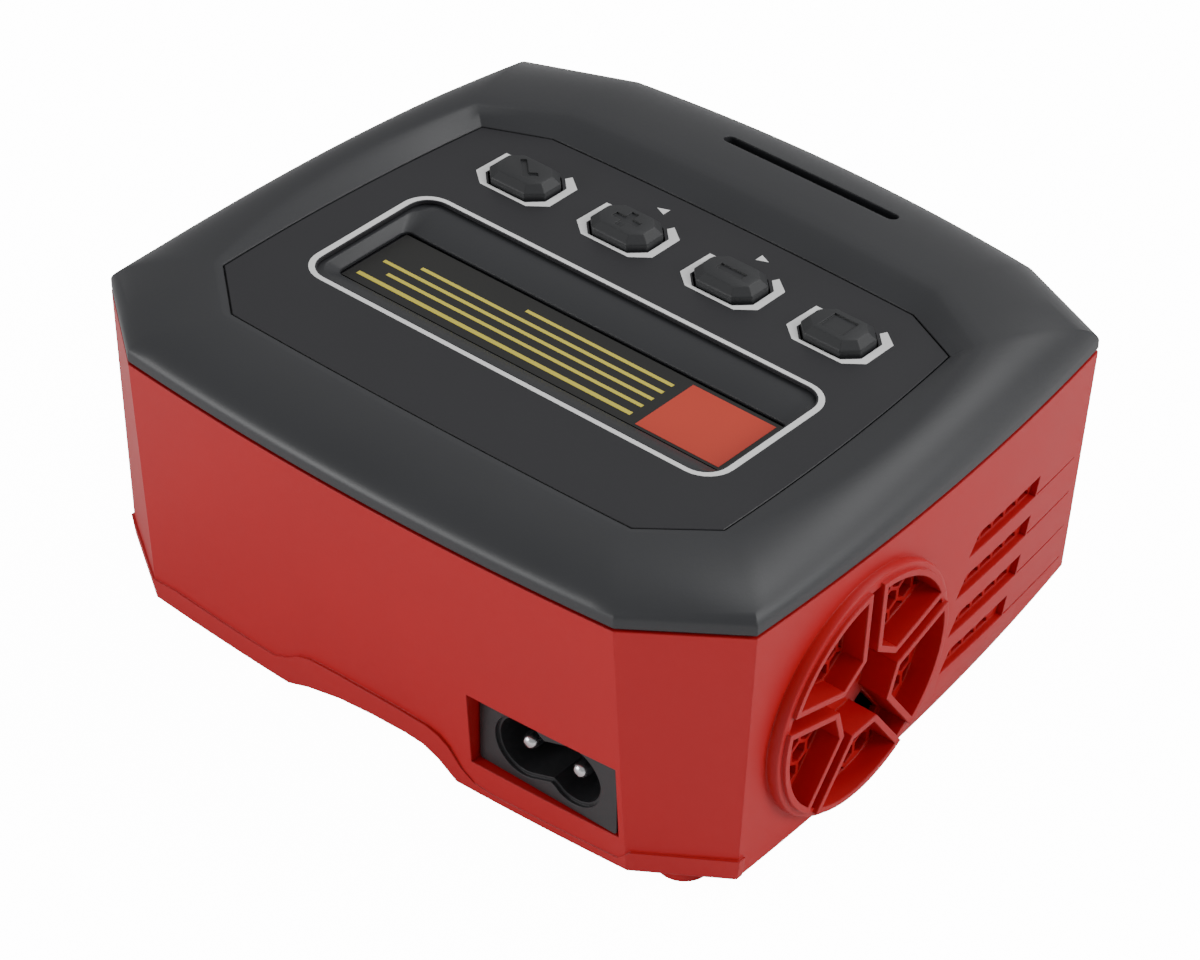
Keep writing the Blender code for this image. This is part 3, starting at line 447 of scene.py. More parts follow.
def surface(name, colour, rough, metal=0.0, grain=2400.0, bump=0.12, vary=0.06, soft=0.18, coat=0.0,
            spec=0.5):
    """A procedural finish: fine grain, slight unevenness of colour and gloss, and softened edges."""
    made = bpy.data.materials.new(name)
    made.use_nodes = True
    tree = made.node_tree
    shader = tree.nodes["Principled BSDF"]
    shader.inputs["Metallic"].default_value = metal
    shader.inputs["Specular IOR Level"].default_value = spec
    shader.inputs["Coat Weight"].default_value = coat
    where = node(tree, "ShaderNodeTexCoord")
    broad = node(tree, "ShaderNodeTexNoise", Scale=55.0, Detail=4.0)
    tree.links.new(where.outputs["Object"], broad.inputs["Vector"])
    tint = node(tree, "ShaderNodeValToRGB")
    low = tuple(c * (1 - vary) for c in colour)
    high = tuple(min(1.0, c * (1 + vary)) for c in colour)
    tint.color_ramp.elements[0].position = 0.3
    tint.color_ramp.elements[1].position = 0.7
    tint.color_ramp.elements[0].color = (*low, 1.0)
    tint.color_ramp.elements[1].color = (*high, 1.0)
    tree.links.new(broad.outputs["Fac"], tint.inputs["Fac"])
    tree.links.new(tint.outputs["Color"], shader.inputs["Base Color"])
    gloss = node(tree, "ShaderNodeMapRange")
    gloss.inputs["To Min"].default_value = max(0.02, rough - 0.05)
    gloss.inputs["To Max"].default_value = rough + 0.05
    tree.links.new(broad.outputs["Fac"], gloss.inputs["Value"])
    tree.links.new(gloss.outputs["Result"], shader.inputs["Roughness"])
    fine = node(tree, "ShaderNodeTexNoise", Scale=grain, Detail=3.0)
    tree.links.new(where.outputs["Object"], fine.inputs["Vector"])
    edges = node(tree, "ShaderNodeBevel", samples=4)
    edges.inputs["Radius"].default_value = soft * MM
    relief = node(tree, "ShaderNodeBump")
    relief.inputs["Strength"].default_value = bump
    relief.inputs["Distance"].default_value = 0.02 * MM
    tree.links.new(fine.outputs["Fac"], relief.inputs["Height"])
    tree.links.new(edges.outputs["Normal"], relief.inputs["Normal"])
    tree.links.new(relief.outputs["Normal"], shader.inputs["Normal"])
    return made


FINISHES = {
    "red_plastic": surface("moulded_red", (0.44, 0.010, 0.013), 0.44, bump=0.30, vary=0.03, soft=0.30,
                           spec=0.3),
    "charcoal_plastic": surface("moulded_charcoal", (0.026, 0.027, 0.030), 0.44, bump=0.35, vary=0.04,
                                soft=0.30),
    "overlay_black": surface("printed_overlay", (0.016, 0.016, 0.019), 0.40, bump=0.10, vary=0.03, soft=0.05),
    "key_plastic": surface("moulded_key", (0.020, 0.021, 0.023), 0.46, bump=0.25, vary=0.04, soft=0.22),
    "clear_lens": surface("smoked_lens", (0.022, 0.022, 0.026), 0.10, bump=0.0, vary=0.02, coat=0.5),
    "film": surface("film_black", (0.012, 0.012, 0.011), 0.32, bump=0.05, vary=0.03, soft=0.03),
    "lcd_glass": surface("lcd_cell", (0.10, 0.15, 0.10), 0.18, bump=0.0),
    "black_resin": surface("moulded_resin", (0.020, 0.020, 0.022), 0.38, bump=0.20, vary=0.05, soft=0.15),
    "plated_metal": surface("plated_pin", (0.72, 0.72, 0.74), 0.20, metal=1.0, bump=0.05, vary=0.02),
    "circuit_board": surface("solder_mask", (0.012, 0.085, 0.035), 0.35, grain=700.0, bump=0.12, vary=0.15),
    "ferrite": surface("ferrite_core", (0.050, 0.050, 0.055), 0.62, bump=0.4, vary=0.10),
    "winding_tape": surface("winding_tape", (0.72, 0.50, 0.07), 0.35, bump=0.10, vary=0.05),
    "copper_wire": surface("enamelled_copper", (0.62, 0.24, 0.09), 0.28, metal=1.0, grain=1500.0, bump=0.5),
    "capacitor_sleeve": surface("shrink_sleeve", (0.018, 0.030, 0.10), 0.30, bump=0.05),
    "film_yellow": surface("moulded_yellow", (0.68, 0.48, 0.05), 0.38, bump=0.15),
    "aluminium": surface("extruded_aluminium", (0.60, 0.61, 0.63), 0.36, metal=1.0, bump=0.25),
    "white_nylon": surface("moulded_nylon", (0.78, 0.77, 0.71), 0.42, bump=0.15, vary=0.02, soft=0.12),
    "amber_nylon": surface("moulded_amber", (0.80, 0.46, 0.025), 0.40, bump=0.15, vary=0.03, soft=0.15),
    "gold_contact": surface("gold_plating", (0.86, 0.62, 0.24), 0.22, metal=1.0, bump=0.05, vary=0.02),
    "steel": surface("zinc_plated_steel", (0.44, 0.44, 0.46), 0.30, metal=1.0, bump=0.20, vary=0.05,
                     soft=0.10),
    "fan_black": surface("moulded_fan", (0.018, 0.018, 0.020), 0.42, bump=0.20, vary=0.05, soft=0.15),
    "white_print": surface("white_print", (0.80, 0.80, 0.80), 0.45, bump=0.05, vary=0.02, soft=0.01),
    "yellow_print": surface("yellow_print", (0.66, 0.56, 0.06), 0.45, bump=0.05, vary=0.02, soft=0.01),
    "red_print": surface("red_print", (0.56, 0.045, 0.022), 0.42, bump=0.05, vary=0.03, soft=0.01),
}


# ------------------------------------------------------------------ building and placing pieces

def linked(name, data):
    obj = bpy.data.objects.new(name, data)
    bpy.context.scene.collection.objects.link(obj)
    return obj


def temporary(bm):
    """An object that holds a shape while it takes part in a cut or a union."""
    bmesh.ops.remove_doubles(bm, verts=bm.verts[:], dist=0.002)
    bmesh.ops.recalc_face_normals(bm, faces=bm.faces[:])
    mesh = bpy.data.meshes.new("temporary")
    bm.to_mesh(mesh)
    bm.free()
    return linked("temporary", mesh)


def carved(base, *steps):
    """The base shape after each (operation, shape) in turn, as a bmesh."""
    main = temporary(base)
    others = []
    for operation, shape in steps:
        other = temporary(shape)
        mod = main.modifiers.new(operation, "BOOLEAN")
        mod.operation = operation
        mod.object = other
        mod.solver = "EXACT"
        others.append(other)
    bpy.context.view_layer.update()
    depsgraph = bpy.context.evaluated_depsgraph_get()
    mesh = bpy.data.meshes.new_from_object(main.evaluated_get(depsgraph))
    for obj in [main] + others:
        old = obj.data
        bpy.data.objects.remove(obj)
        bpy.data.meshes.remove(old)
    result = bmesh.new()
    result.from_mesh(mesh)
    bpy.data.meshes.remove(mesh)
    return result


def piece(name, bm, slot, body="charger_body", stands_for=(), angle=30, finish=None):
    """Places a finished shape on the frame, rides it on its body and gives it its finish."""
    bmesh.ops.remove_doubles(bm, verts=bm.verts[:], dist=0.001)
    bmesh.ops.recalc_face_normals(bm, faces=bm.faces[:])
    bmesh.ops.translate(bm, vec=(*CENTRE, 0.0), verts=bm.verts[:])
    bmesh.ops.scale(bm, vec=(MM, MM, MM), verts=bm.verts[:])
    mesh = bpy.data.meshes.new(name)
    bm.to_mesh(mesh)
    bm.free()
    mesh.shade_smooth()
    mesh.set_sharp_from_angle(angle=radians(angle))
    mesh.materials.append(FINISHES[finish or slot])
    obj = linked(name, mesh)
    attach(obj, body)
    if stands_for:
        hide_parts(*stands_for)


# ------------------------------------------------------------------ case

def grille_pocket(shrink, outer, angle):
    """Outline of one pocket of the fan grille, turned by angle, with its walls moved in by shrink."""
    half_gap = CHANNEL / 2 + shrink
    lean = radians(POCKET_TURN / 2)
    nose = POCKET_NOSE + shrink
    low = (nose, (nose * sin(lean) - half_gap) / cos(lean))
    reach = (outer ** 2 - half_gap ** 2) ** 0.5
    top = (reach * cos(lean) + half_gap * sin(lean), reach * sin(lean) - half_gap * cos(lean))
    sweep = atan2(top[1], top[0])
    arc = [(outer * cos(sweep * (1 - i / 6)), outer * sin(sweep * (1 - i / 6))) for i in range(13)]
    return anticlockwise(spun([low] + arc + [(low[0], -low[1])], angle))


def grille_steps():
    """Opens the fan side and fills it with a ring, five rimmed pockets of mesh and slotted channels."""
    back = -GRILLE_DEPTH - GRILLE_FLOOR
    walls = []
    wells = []
    holes = []
    bounds = []
    slots = []
    for angle in POCKET_ANGLES:
        walls.append(prism(grille_pocket(0.0, RING_IN + 0.6, angle), -GRILLE_DEPTH - 0.3, RIM_TOP))
        well = grille_pocket(0.9, RING_IN - 0.3, angle)
        wells.append(prism(well, -MESH_DEPTH, RING_PROUD + 2))
        for x, y in hex_centres(RING_IN):
            if inside((x, y), well, -0.5):
                holes.append(prism(hexagon(x, y, HEX_R), back - 1, RING_PROUD + 1))
        bounds.append(prism(grille_pocket(1.05, RING_IN - 0.45, angle), back - 2, RING_PROUD + 3))
        slot = anticlockwise(spun(rectangle(*SLOT), angle + POCKET_TURN / 2))
        slots.append(prism(slot, back - 1.5, RING_PROUD + 1.5))
    profile = ((RING_R, back), (RING_R, RING_PROUD - 0.5), (RING_R - 0.15, RING_PROUD - 0.15),
               (RING_R - 0.5, RING_PROUD))
    ring = loft([[(x, y, z) for x, y in circle(radius)] for radius, z in profile])
    bowl = cylinder(RING_IN, -GRILLE_DEPTH, RING_PROUD + 2, sides=96)
    mesh_holes = carved(merged(holes), ("INTERSECT", merged(bounds)))
    grille = carved(ring, ("DIFFERENCE", bowl), ("UNION", merged(walls)), ("DIFFERENCE", merged(wells)),
                    ("DIFFERENCE", mesh_holes), ("DIFFERENCE", merged(slots)))
    opening = cylinder(RING_R - 0.4, back + 0.05, 5.0, sides=96)
    return [("DIFFERENCE", on_fan_wall(opening)), ("UNION", on_fan_wall(grille))]


def vent_steps():
    """Four slanting rows of mesh in front of the fan, each sunk a little and with a thin line ahead of it."""
    sunk = []
    holes = []
    lines = []
    half = VENT_HEIGHT / 2
    for z, back, front in VENT_ROWS:
        x0, x1 = front - FAN_Y, back - FAN_Y
        middle = z - FAN_Z

        def tilted(points):
            return anticlockwise([(x, y + middle + (x - x1) * VENT_FALL) for x, y in points])

        sunk.append(prism(tilted([(x0 + 0.8, -half), (x1, -half), (x1 - 2.2, half), (x0, half)]), -1.0, 4.0))
        for i in range(int((x1 - x0 - 4.6) / HEX_PITCH) * 2 + 1):
            y = HEX_PITCH * HEX_ROW / 2 * (1 if i % 2 else -1)
            shape = trimmed(hexagon(x1 - 2.6 - i * HEX_PITCH / 2, y, HEX_R), 0.25 - half, half - 0.25)
            holes.append(prism(tilted(shape), -WALL - 4, 4.0))
        end = VENT_LINE_END - FAN_Y
        line = [(end, -half - 0.1), (x0 + 0.4, -half), (x0 + 0.4, -half + 0.3), (end, -half + 0.05)]
        lines.append(prism(tilted(line), -0.3, 4.0))
    return [("DIFFERENCE", on_side_wall(merged(shapes))) for shapes in (sunk, lines, holes)]


def on_side_wall(bm):
    """Wraps a flat shape onto the curved fan side: its X runs back, its Y up and its Z out of the wall."""
    for vert in bm.verts:
        y, z = vert.co.x + FAN_Y, vert.co.y + FAN_Z
        vert.co = Vector((-side_x(y, z) - vert.co.z, y, z))
    return bm


def band():
    """The raised band round the foot of the back, which rises over the arch in the middle."""
    lift = 14.0
    proud = 1.5
    shape = loft([ring_at(inset(BASE_PLAN, margin), BASE_BOWS, flat(height)) for margin, height in
                  ((0.3, BASE_Z), (-0.05, BASE_Z + 0.4), (-proud, lift))])
    wave = [(-70, -5), (70, -5), (70, 5.8), (42, 5.8), (38, 6.4), (24, 6.3), (18.3, 6.4), (15.6, 7.6),
            (13.4, 9.2), (11.2, 10.0), (6, 10.4), (-4, 10.6), (-10, 10.4), (-12.0, 9.8), (-13.6, 8.6),
            (-15.6, 5.6), (-17.6, 4.0), (-21, 3.6), (-41.2, 4.0), (-43, 5.8), (-70, 5.8)]
    return carved(shape, ("INTERSECT", facing_back(wave, BAND_Y, PAST_BACK)))


def arch():
    """The low opening in the middle of the back's foot."""
    outline = [(19.0, 0.0), (16.9, 2.1), (12.0, 4.1), (6.0, 5.7), (0.0, 6.4), (-6.0, 6.6), (-9.0, 6.3),
               (-11.5, 5.0), (-14.6, 2.2), (-16.6, 0.0)]
    return facing_back(outline, ARCH_Y, PAST_BACK)


def case_body(top):
    """The case before it is hollowed, from its softened foot up to the joint."""
    rings = [ring_at(inset(BASE_PLAN, margin), BASE_BOWS, flat(BASE_Z + height)) for margin, height in
             ((0.7, 0.0), (0.25, 0.15), (-0.02, 0.6))]
    for part_way in (0.25, 0.5, 0.75, 1.0):
        rings.append(ring_at(corners_between(BASE_PLAN, JOINT_PLAN, part_way),
                             between(BASE_BOWS, JOINT_BOWS, part_way),
                             lambda y: BASE_Z + (top + SLOPE * y - BASE_Z) * part_way))
    return loft(rings)


def case_hollow(top):
    """The room inside the case, less the thicker wall behind the arch."""
    hollow = loft([ring_at(inset(BASE_PLAN, WALL), BASE_BOWS, flat(FLOOR_Z)),
                   ring_at(inset(JOINT_PLAN, WALL + 0.1), JOINT_BOWS, lambda y: top + 2 + SLOPE * y)])
    backing = [(21.0, 0.0), (18.0, 4.4), (7.0, 8.4), (-10.2, 8.8), (-18.2, 3.0), (-19.0, 0.0)]
    return carved(hollow, ("DIFFERENCE", facing_back(backing, BAND_Y, PAST_BACK)))


def foot_steps():
    """Adds the feet and the screw posts above them, then bores them for the screws."""
    profile = ((FOOT_R - 0.5, 0.0), (FOOT_R - 0.15, 0.15), (FOOT_R, 0.5), (FOOT_R, BASE_Z + 1.0))
    feet = []
    for x, y in POSTS:
        feet.append(loft([[(x + px, y + py, z) for px, py in circle(radius, 48)] for radius, z in profile]))
    posts = [cylinder(POST_R, BASE_Z + 0.5, POST_SPLIT_Z - GAP / 2, x, y, sides=40) for x, y in POSTS]
    bores = [cylinder(FOOT_BORE_R, -1.0, 5.0, x, y, sides=48) for x, y in POSTS]
    drills = [cylinder(SCREW_BORE_R, -2.0, POST_SPLIT_Z + 3, x, y, sides=20) for x, y in POSTS]
    return [("UNION", merged(feet)), ("UNION", merged(posts)), ("DIFFERENCE", merged(bores)),
            ("DIFFERENCE", merged(drills))]


def socket_steps():
    """Cuts the openings for the mains inlet and the two groups of battery sockets."""
    half = INLET_SIZE[0] / 2 + FIT
    tall = INLET_SIZE[2] / 2 + GAP
    inlet = box(INLET_X - half, 30, INLET_Z - tall, INLET_X + half, PAST_BACK, INLET_Z + tall)
    across, rise = BALANCE_SIZE[0] / 2 + FIT, BALANCE_SIZE[1] / 2 + FIT
    balance = on_battery_wall(box(-10.0, -across, -rise, 10.0, across, rise), *BALANCE_AT)
    output = on_battery_wall(output_outline(FIT, -10.0, 10.0), *OUTPUT_AT)
    return [("DIFFERENCE", inlet), ("DIFFERENCE", balance), ("DIFFERENCE", output)]


def case_shell():
    top = joint_z(0) - GAP / 2
    steps = [("UNION", band()), ("DIFFERENCE", case_hollow(top)), ("DIFFERENCE", arch())]
    steps += foot_steps() + grille_steps() + vent_steps() + socket_steps()
    piece("case_shell", carved(case_body(top), *steps), "red_plastic", stands_for=["lower_case"], angle=28)


def output_outline(grow, x0, x1):
    """The two-pole battery socket's outer shape, a bar with two corners cut so that it fits one way only."""
    a, b = 7.9 + grow, 4.1 + grow
    cut = 2.4
    points = [(-a, -b), (a - cut, -b), (a, -b + cut), (a, b - cut), (a - cut, b), (-a, b)]
    return along_x(prism([(-z, y) for y, z in points], x0, x1))


# ------------------------------------------------------------------ cover and control panel

def key_hole(x):
    outline = octagon(KEY_SIZE[0] + 2 * GAP, KEY_SIZE[1] + 2 * GAP, 2.2)
    return on_panel(prism(outline, 0.0, 9.0), x, KEY_Y)


def window_cutter():
    """Cuts the display's well, which narrows from the overlay down to the film."""
    def ring(rect, radius, height):
        return [(x, y, joint_z(y) + height) for x, y in rounded_rect(*rect, radius, 8)]

    return loft([ring(WINDOW_FLOOR, 1.2, CEILING_H - 1.0), ring(WINDOW_FLOOR, 1.2, CEILING_H + 0.4),
                 ring(WINDOW_TOP, WINDOW_CORNER, PANEL_H), ring(WINDOW_TOP, WINDOW_CORNER, PANEL_H + 3)])


def cover_body():
    """The cover before it is hollowed: skirt, rounded shoulder, crest, slope down to the panel and pocket."""
    rings = [ring_at(inset(JOINT_PLAN, 0.25), JOINT_BOWS, above_joint(GAP / 2)),
             ring_at(JOINT_PLAN, JOINT_BOWS, above_joint(GAP / 2 + 0.3)),
             ring_at(JOINT_PLAN, JOINT_BOWS, above_joint(SKIRT))]
    turns = 14
    for i in range(1, turns + 1):
        angle = i / turns * pi / 2
        share, rise = 1 - cos(angle), sin(angle) ** 1.15
        rings.append(ring_at(corners_between(JOINT_PLAN, CREST_PLAN, share),
                             between(JOINT_BOWS, CREST_BOWS, share),
                             lambda y: joint_z(y) + SKIRT + (crest_h(y) - SKIRT) * rise))
    for share, fall in ((0.18, 0.10), (0.40, 0.32), (0.70, 0.66), (1.0, 1.0)):
        rings.append(ring_at(corners_between(CREST_PLAN, PANEL_PLAN, share),
                             between(CREST_BOWS, PANEL_BOWS, share),
                             lambda y: joint_z(y) + crest_h(y) + (PANEL_H - crest_h(y)) * fall))
    rings.append(ring_at(PANEL_PLAN, PANEL_BOWS, above_joint(POCKET_H)))
    return loft(rings)


def cover_shell():
    hollow = loft([ring_at(inset(JOINT_PLAN, WALL), JOINT_BOWS, above_joint(-2)),
                   ring_at(inset(JOINT_PLAN, WALL + 1.2), JOINT_BOWS, above_joint(CEILING_H))])
    groove = prism(rounded_rect(-17.0, -42.4, 13.5, -40.2, 1.09, 6), 5.0, 13.0)
    steps = [("DIFFERENCE", hollow), ("DIFFERENCE", window_cutter())]
    steps += [("DIFFERENCE", key_hole(x)) for x in KEY_X]
    steps += [("DIFFERENCE", on_panel(groove))]
    piece("cover_shell", carved(cover_body(), *steps), "charcoal_plastic", stands_for=["top_cover"], angle=28)


def strip(outer, inner, closed=True):
    """A thin printed band between two outlines of equally many points, lying on the panel."""
    bm = bmesh.new()
    count = len(outer)
    layers = []
    for lift in (0.0, PRINT):
        layers.append([[bm.verts.new((x, y, joint_z(y) + PANEL_H + lift)) for x, y in line]
                       for line in (outer, inner)])
    (low_out, low_in), (top_out, top_in) = layers
    last = count if closed else count - 1
    for i in range(last):
        j = (i + 1) % count
        bm.faces.new((top_out[i], top_out[j], top_in[j], top_in[i]))
        bm.faces.new((low_out[i], low_out[j], low_in[j], low_in[i]))
        bm.faces.new((low_out[i], low_out[j], top_out[j], top_out[i]))
        bm.faces.new((low_in[i], low_in[j], top_in[j], top_in[i]))
    if not closed:
        for i in (0, count - 1):
            bm.faces.new((low_out[i], top_out[i], top_in[i], low_in[i]))
    return bm


def panel_overlay():
    edge = inset(PANEL_PLAN, 0.25)
    sheet = loft([ring_at(edge, PANEL_BOWS, above_joint(POCKET_H + 0.25)),
                  ring_at(edge, PANEL_BOWS, above_joint(PANEL_H - 0.08)),
                  ring_at(inset(edge, 0.08), PANEL_BOWS, above_joint(PANEL_H))])
    rect = [(x, y, joint_z(y)) for x, y in rounded_rect(*WINDOW_TOP, WINDOW_CORNER, 8)]
    hole = loft([rect, [(x, y, z + 12) for x, y, z in rect]])
    steps = [("DIFFERENCE", hole)] + [("DIFFERENCE", key_hole(x)) for x in KEY_X]
    piece("overlay_sheet", carved(sheet, *steps), "overlay_black", stands_for=["panel_overlay"])


def panel_prints():
    """A border round the window, a bracket round each key and two small arrows."""
    x0, y0, x1, y1 = WINDOW_TOP
    border = strip(rounded_rect(x0 - 1.2, y0 - 0.9, x1 + 1.2, y1 + 1.0, WINDOW_CORNER + 1.0, 8),
                   rounded_rect(x0 - 0.25, y0 - 0.2, x1 + 0.25, y1 + 0.25, WINDOW_CORNER + 0.2, 8))
    piece("window_border_print", border, "overlay_black", finish="white_print")
    outer = [(6.6, -3.6), (6.8, 2.6), (4.2, 4.75), (-4.2, 4.75), (-6.7, 2.6), (-6.7, -3.3), (-4.2, -5.2)]
    inner = [(5.5, -3.6), (5.5, 2.1), (3.5, 4.15), (-3.5, 4.15), (-5.5, 2.1), (-5.5, -2.4), (-3.7, -4.2)]
    for name, x in zip(KEY_NAMES, KEY_X):
        lines = [[(x + px, KEY_Y + py) for px, py in line] for line in (outer, inner)]
        piece(f"{name}_bracket_print", strip(*lines, closed=False), "overlay_black", finish="white_print")
    for i, x in enumerate(ARROWS_X):
        side = 1 if x > 0 else -1
        outline = anticlockwise([(side, 0.0), (-side * 0.7, -0.75), (-side * 0.7, 0.75)])
        arrow = prism(outline, PANEL_H, PANEL_H + PRINT)
        piece(f"arrow_print_{i + 1}", on_panel(arrow, x, ARROWS_Y), "overlay_black", finish="white_print")


KEY_SIGNS = {
    "enter_key": [(2.2, -1.5), (1.5, -2.1), (-0.9, 0.3), (-1.9, -0.5), (-2.5, 0.1), (-0.9, 1.6)],
    "increase_key": [(-0.6, -2.0), (0.6, -2.0), (0.6, -0.6), (2.2, -0.6), (2.2, 0.6), (0.6, 0.6), (0.6, 2.0),
                     (-0.6, 2.0), (-0.6, 0.6), (-2.2, 0.6), (-2.2, -0.6), (-0.6, -0.6)],
    "decrease_key": rectangle(-2.2, -0.7, 2.2, 0.7),
    "stop_key": rectangle(-2.0, -1.8, 2.0, 1.8),
}


def keys():
    width, height = KEY_SIZE

    def ring(grow, corner, z):
        return [(px, py, z) for px, py in octagon(width + grow, height + grow, corner)]

    for name, x in zip(KEY_NAMES, KEY_X):
        body = loft([ring(0.0, 2.0, CEILING_H - 1.2), ring(0.0, 2.0, KEY_TOP_H - 1.15),
                     ring(-0.1, 2.0, KEY_TOP_H - 1.0), ring(-2.1, 1.5, KEY_TOP_H - 0.06),
                     ring(-2.5, 1.4, KEY_TOP_H)])
        flange = prism(octagon(width + 2.2, height + 2.2, 2.6), CEILING_H - 1.9, CEILING_H - 1.0)
        stem = cylinder(1.6, 0.5, CEILING_H - 1.2)
        sign = prism(anticlockwise(KEY_SIGNS[name]), KEY_TOP_H - 0.25, KEY_TOP_H + 1)
        shape = carved(body, ("UNION", flange), ("UNION", stem), ("DIFFERENCE", sign))
        piece(f"{name}_cap", on_panel(shape, x, KEY_Y), "key_plastic", body=name.replace("_key", "_button"),
              stands_for=[name], angle=20)


def display():
    x0, y0, x1, y1 = FILM
    top = CEILING_H + 0.1
    film = on_panel(box(x0, y0, CEILING_H - 0.1, x1, y1, top))
    piece("display_sheet", film, "film", stands_for=["display_film"])
    label = prism(rectangle(*LABEL), top, top + PRINT)
    piece("display_label_print", on_panel(label), "film", finish="red_print")
    rows = ((15.2, 31.8, 0.75), (12.9, 28.5, 0.62), (10.8, 31.0, 0.62), (8.7, 26.0, 0.62), (6.6, 9.0, 0.62))
    for i, (y, end, thick) in enumerate(rows):
        line = prism(rectangle(LINES_X, y - thick / 2, end, y + thick / 2), top, top + PRINT)
        piece(f"display_line_print_{i + 1}", on_panel(line), "film", finish="yellow_print")


# ------------------------------------------------------------------ mains inlet and fan

def figure_eight(radius, waist):
    """Outline of a two-pin inlet's recess: two arcs joined by a waist."""
    reach = PIN_SPACING / 2
    right = []
    for i in range(25):
        angle = radians(-118 + 236 * i / 24)
        right.append((reach + radius * cos(angle), radius * sin(angle)))
    neck = right[-1]
    upper = [(neck[0] * (1 - t), neck[1] + (waist - neck[1]) * sin(t * pi / 2)) for t in (0.35, 0.7)]
    half = right + upper
    left = [(-x, -y) for x, y in half]
    return anticlockwise(half + left)


def mains_inlet():
    width, depth, height = INLET_SIZE
    y1 = INLET_FACE_Y
    rect = rounded_rect(-width / 2, -height / 2, width / 2, height / 2, 0.5, 4)
    body = loft([[(INLET_X + x, y, INLET_Z + z) for x, z in rect] for y in (y1 - depth, y1)])
    steps = []
    for radius, waist, deep in ((4.75, 3.1, 0.5), (4.25, 2.6, 11.0)):
        recess = facing_back(figure_eight(radius, waist), -deep, 3.0)
        steps.append(("DIFFERENCE", moved(recess, INLET_X, y1, INLET_Z)))
    piece("inlet_body", carved(body, *steps), "black_resin", stands_for=["mains_inlet"])
    root = y1 - depth - 2.0
    for name, side in (("inlet_pin_line", 1), ("inlet_pin_neutral", -1)):
        x = INLET_X + side * PIN_SPACING / 2
        profile = ((PIN_R, root), (PIN_R, y1 - 1.9), (PIN_R * 0.92, y1 - 1.5), (PIN_R * 0.74, y1 - 1.1),
                   (PIN_R * 0.45, y1 - 0.85))
        pin = loft([[(x + px, y, INLET_Z + pz) for px, pz in circle(radius, 32)] for radius, y in profile])
        piece(f"{name}_blade", pin, "plated_metal", stands_for=[name], angle=60)


def fan_housing():
    half = FAN_SIZE / 2
    x0, x1 = FAN_X
    outline = rounded_rect(-half, -half, half, half, 2.4, 6)
    square = loft([[(x, FAN_Y + y, FAN_Z + z) for y, z in outline] for x in (x0, x1)])

    def bore(radius, sides, y=0.0, z=0.0):
        return moved(along_x(cylinder(radius, -4.0, 14.0, sides=sides)), x0, FAN_Y + y, FAN_Z + z)

    ends = (-FAN_HOLES, FAN_HOLES)
    holes = merged([bore(1.4, 24, y, z) for y in ends for z in ends])
    seat = moved(along_x(cylinder(HUB_R + 0.4, x1 - 2.0, x1, sides=64)), 0, FAN_Y, FAN_Z)
    steps = [("DIFFERENCE", bore(DUCT_R, 80)), ("DIFFERENCE", holes), ("UNION", seat)]
    for i in range(3):
        arm = box(x1 - 1.6, -1.2, HUB_R - 0.6, x1 - 0.1, 1.2, DUCT_R + 0.5)
        bmesh.ops.rotate(arm, matrix=Matrix.Rotation(radians(30 + 120 * i), 3, "X"), verts=arm.verts[:])
        steps.append(("UNION", moved(arm, 0, FAN_Y, FAN_Z)))
    piece("fan_housing", carved(square, *steps), "fan_black", stands_for=["fan_frame"])


def fan_blade():
    """One blade along +Z, which twists and sweeps from its root in the hub to its tip."""
    root = HUB_R - 0.8
    profile = ((-0.4, -3.5), (0.4, -3.5), (0.75, 0.0), (0.4, 3.5), (-0.4, 3.5), (-0.05, 0.0))
    sections = []
    for j in range(6):
        share = j / 5
        radius = root + (BLADE_R - root) * share
        sections.append([(x, y + 0.9 * share ** 2, radius) for x, y in spun(profile, 50 + 14 * share)])
    return loft(sections)


def fan_impeller():
    profile = ((HUB_R - 0.9, -3.4), (HUB_R - 0.25, -3.2), (HUB_R, -2.6), (HUB_R, 3.4))
    hub = loft([[(x, y, z) for y, z in circle(radius, 64)] for radius, x in profile])
    steps = []
    for i in range(BLADES):
        blade = fan_blade()
        bmesh.ops.rotate(blade, matrix=Matrix.Rotation(2 * pi * i / BLADES, 3, "X"), verts=blade.verts[:])
        steps.append(("UNION", blade))
    rotor = moved(carved(hub, *steps), FAN_X[0] + 4.0, FAN_Y, FAN_Z)
    piece("fan_impeller_moulding", rotor, "fan_black", body="fan_impeller", stands_for=["fan_rotor"])


# ------------------------------------------------------------------ battery side

def output_socket():
    face = -SOCKET_SUNK

    def rod(radius, dy, x0, x1):
        return moved(along_x(cylinder(radius, x0, x1, sides=40)), 0.0, dy, 0.0)

    wells = merged([rod(3.0, dy, face - 12.0, face + 3) for dy in (-CONTACT_Y, CONTACT_Y)])
    body = carved(output_outline(0.0, face - 16.0, face), ("DIFFERENCE", wells))
    piece("output_socket_body", on_battery_wall(body, *OUTPUT_AT), "amber_nylon",
          stands_for=["battery_output_socket"])
    for name, dy in (("output_contact_negative", -CONTACT_Y), ("output_contact_positive", CONTACT_Y)):
        bore = rod(1.1, dy, face - 9.0, face)
        sleeve = carved(rod(1.75, dy, face - 18.0, face - 4.4), ("DIFFERENCE", bore))
        piece(f"{name}_sleeve", on_battery_wall(sleeve, *OUTPUT_AT), "gold_contact", stands_for=[name])


def balance_width(pins):
    return BALANCE_PITCH * (pins - 1) + BALANCE_ENDS


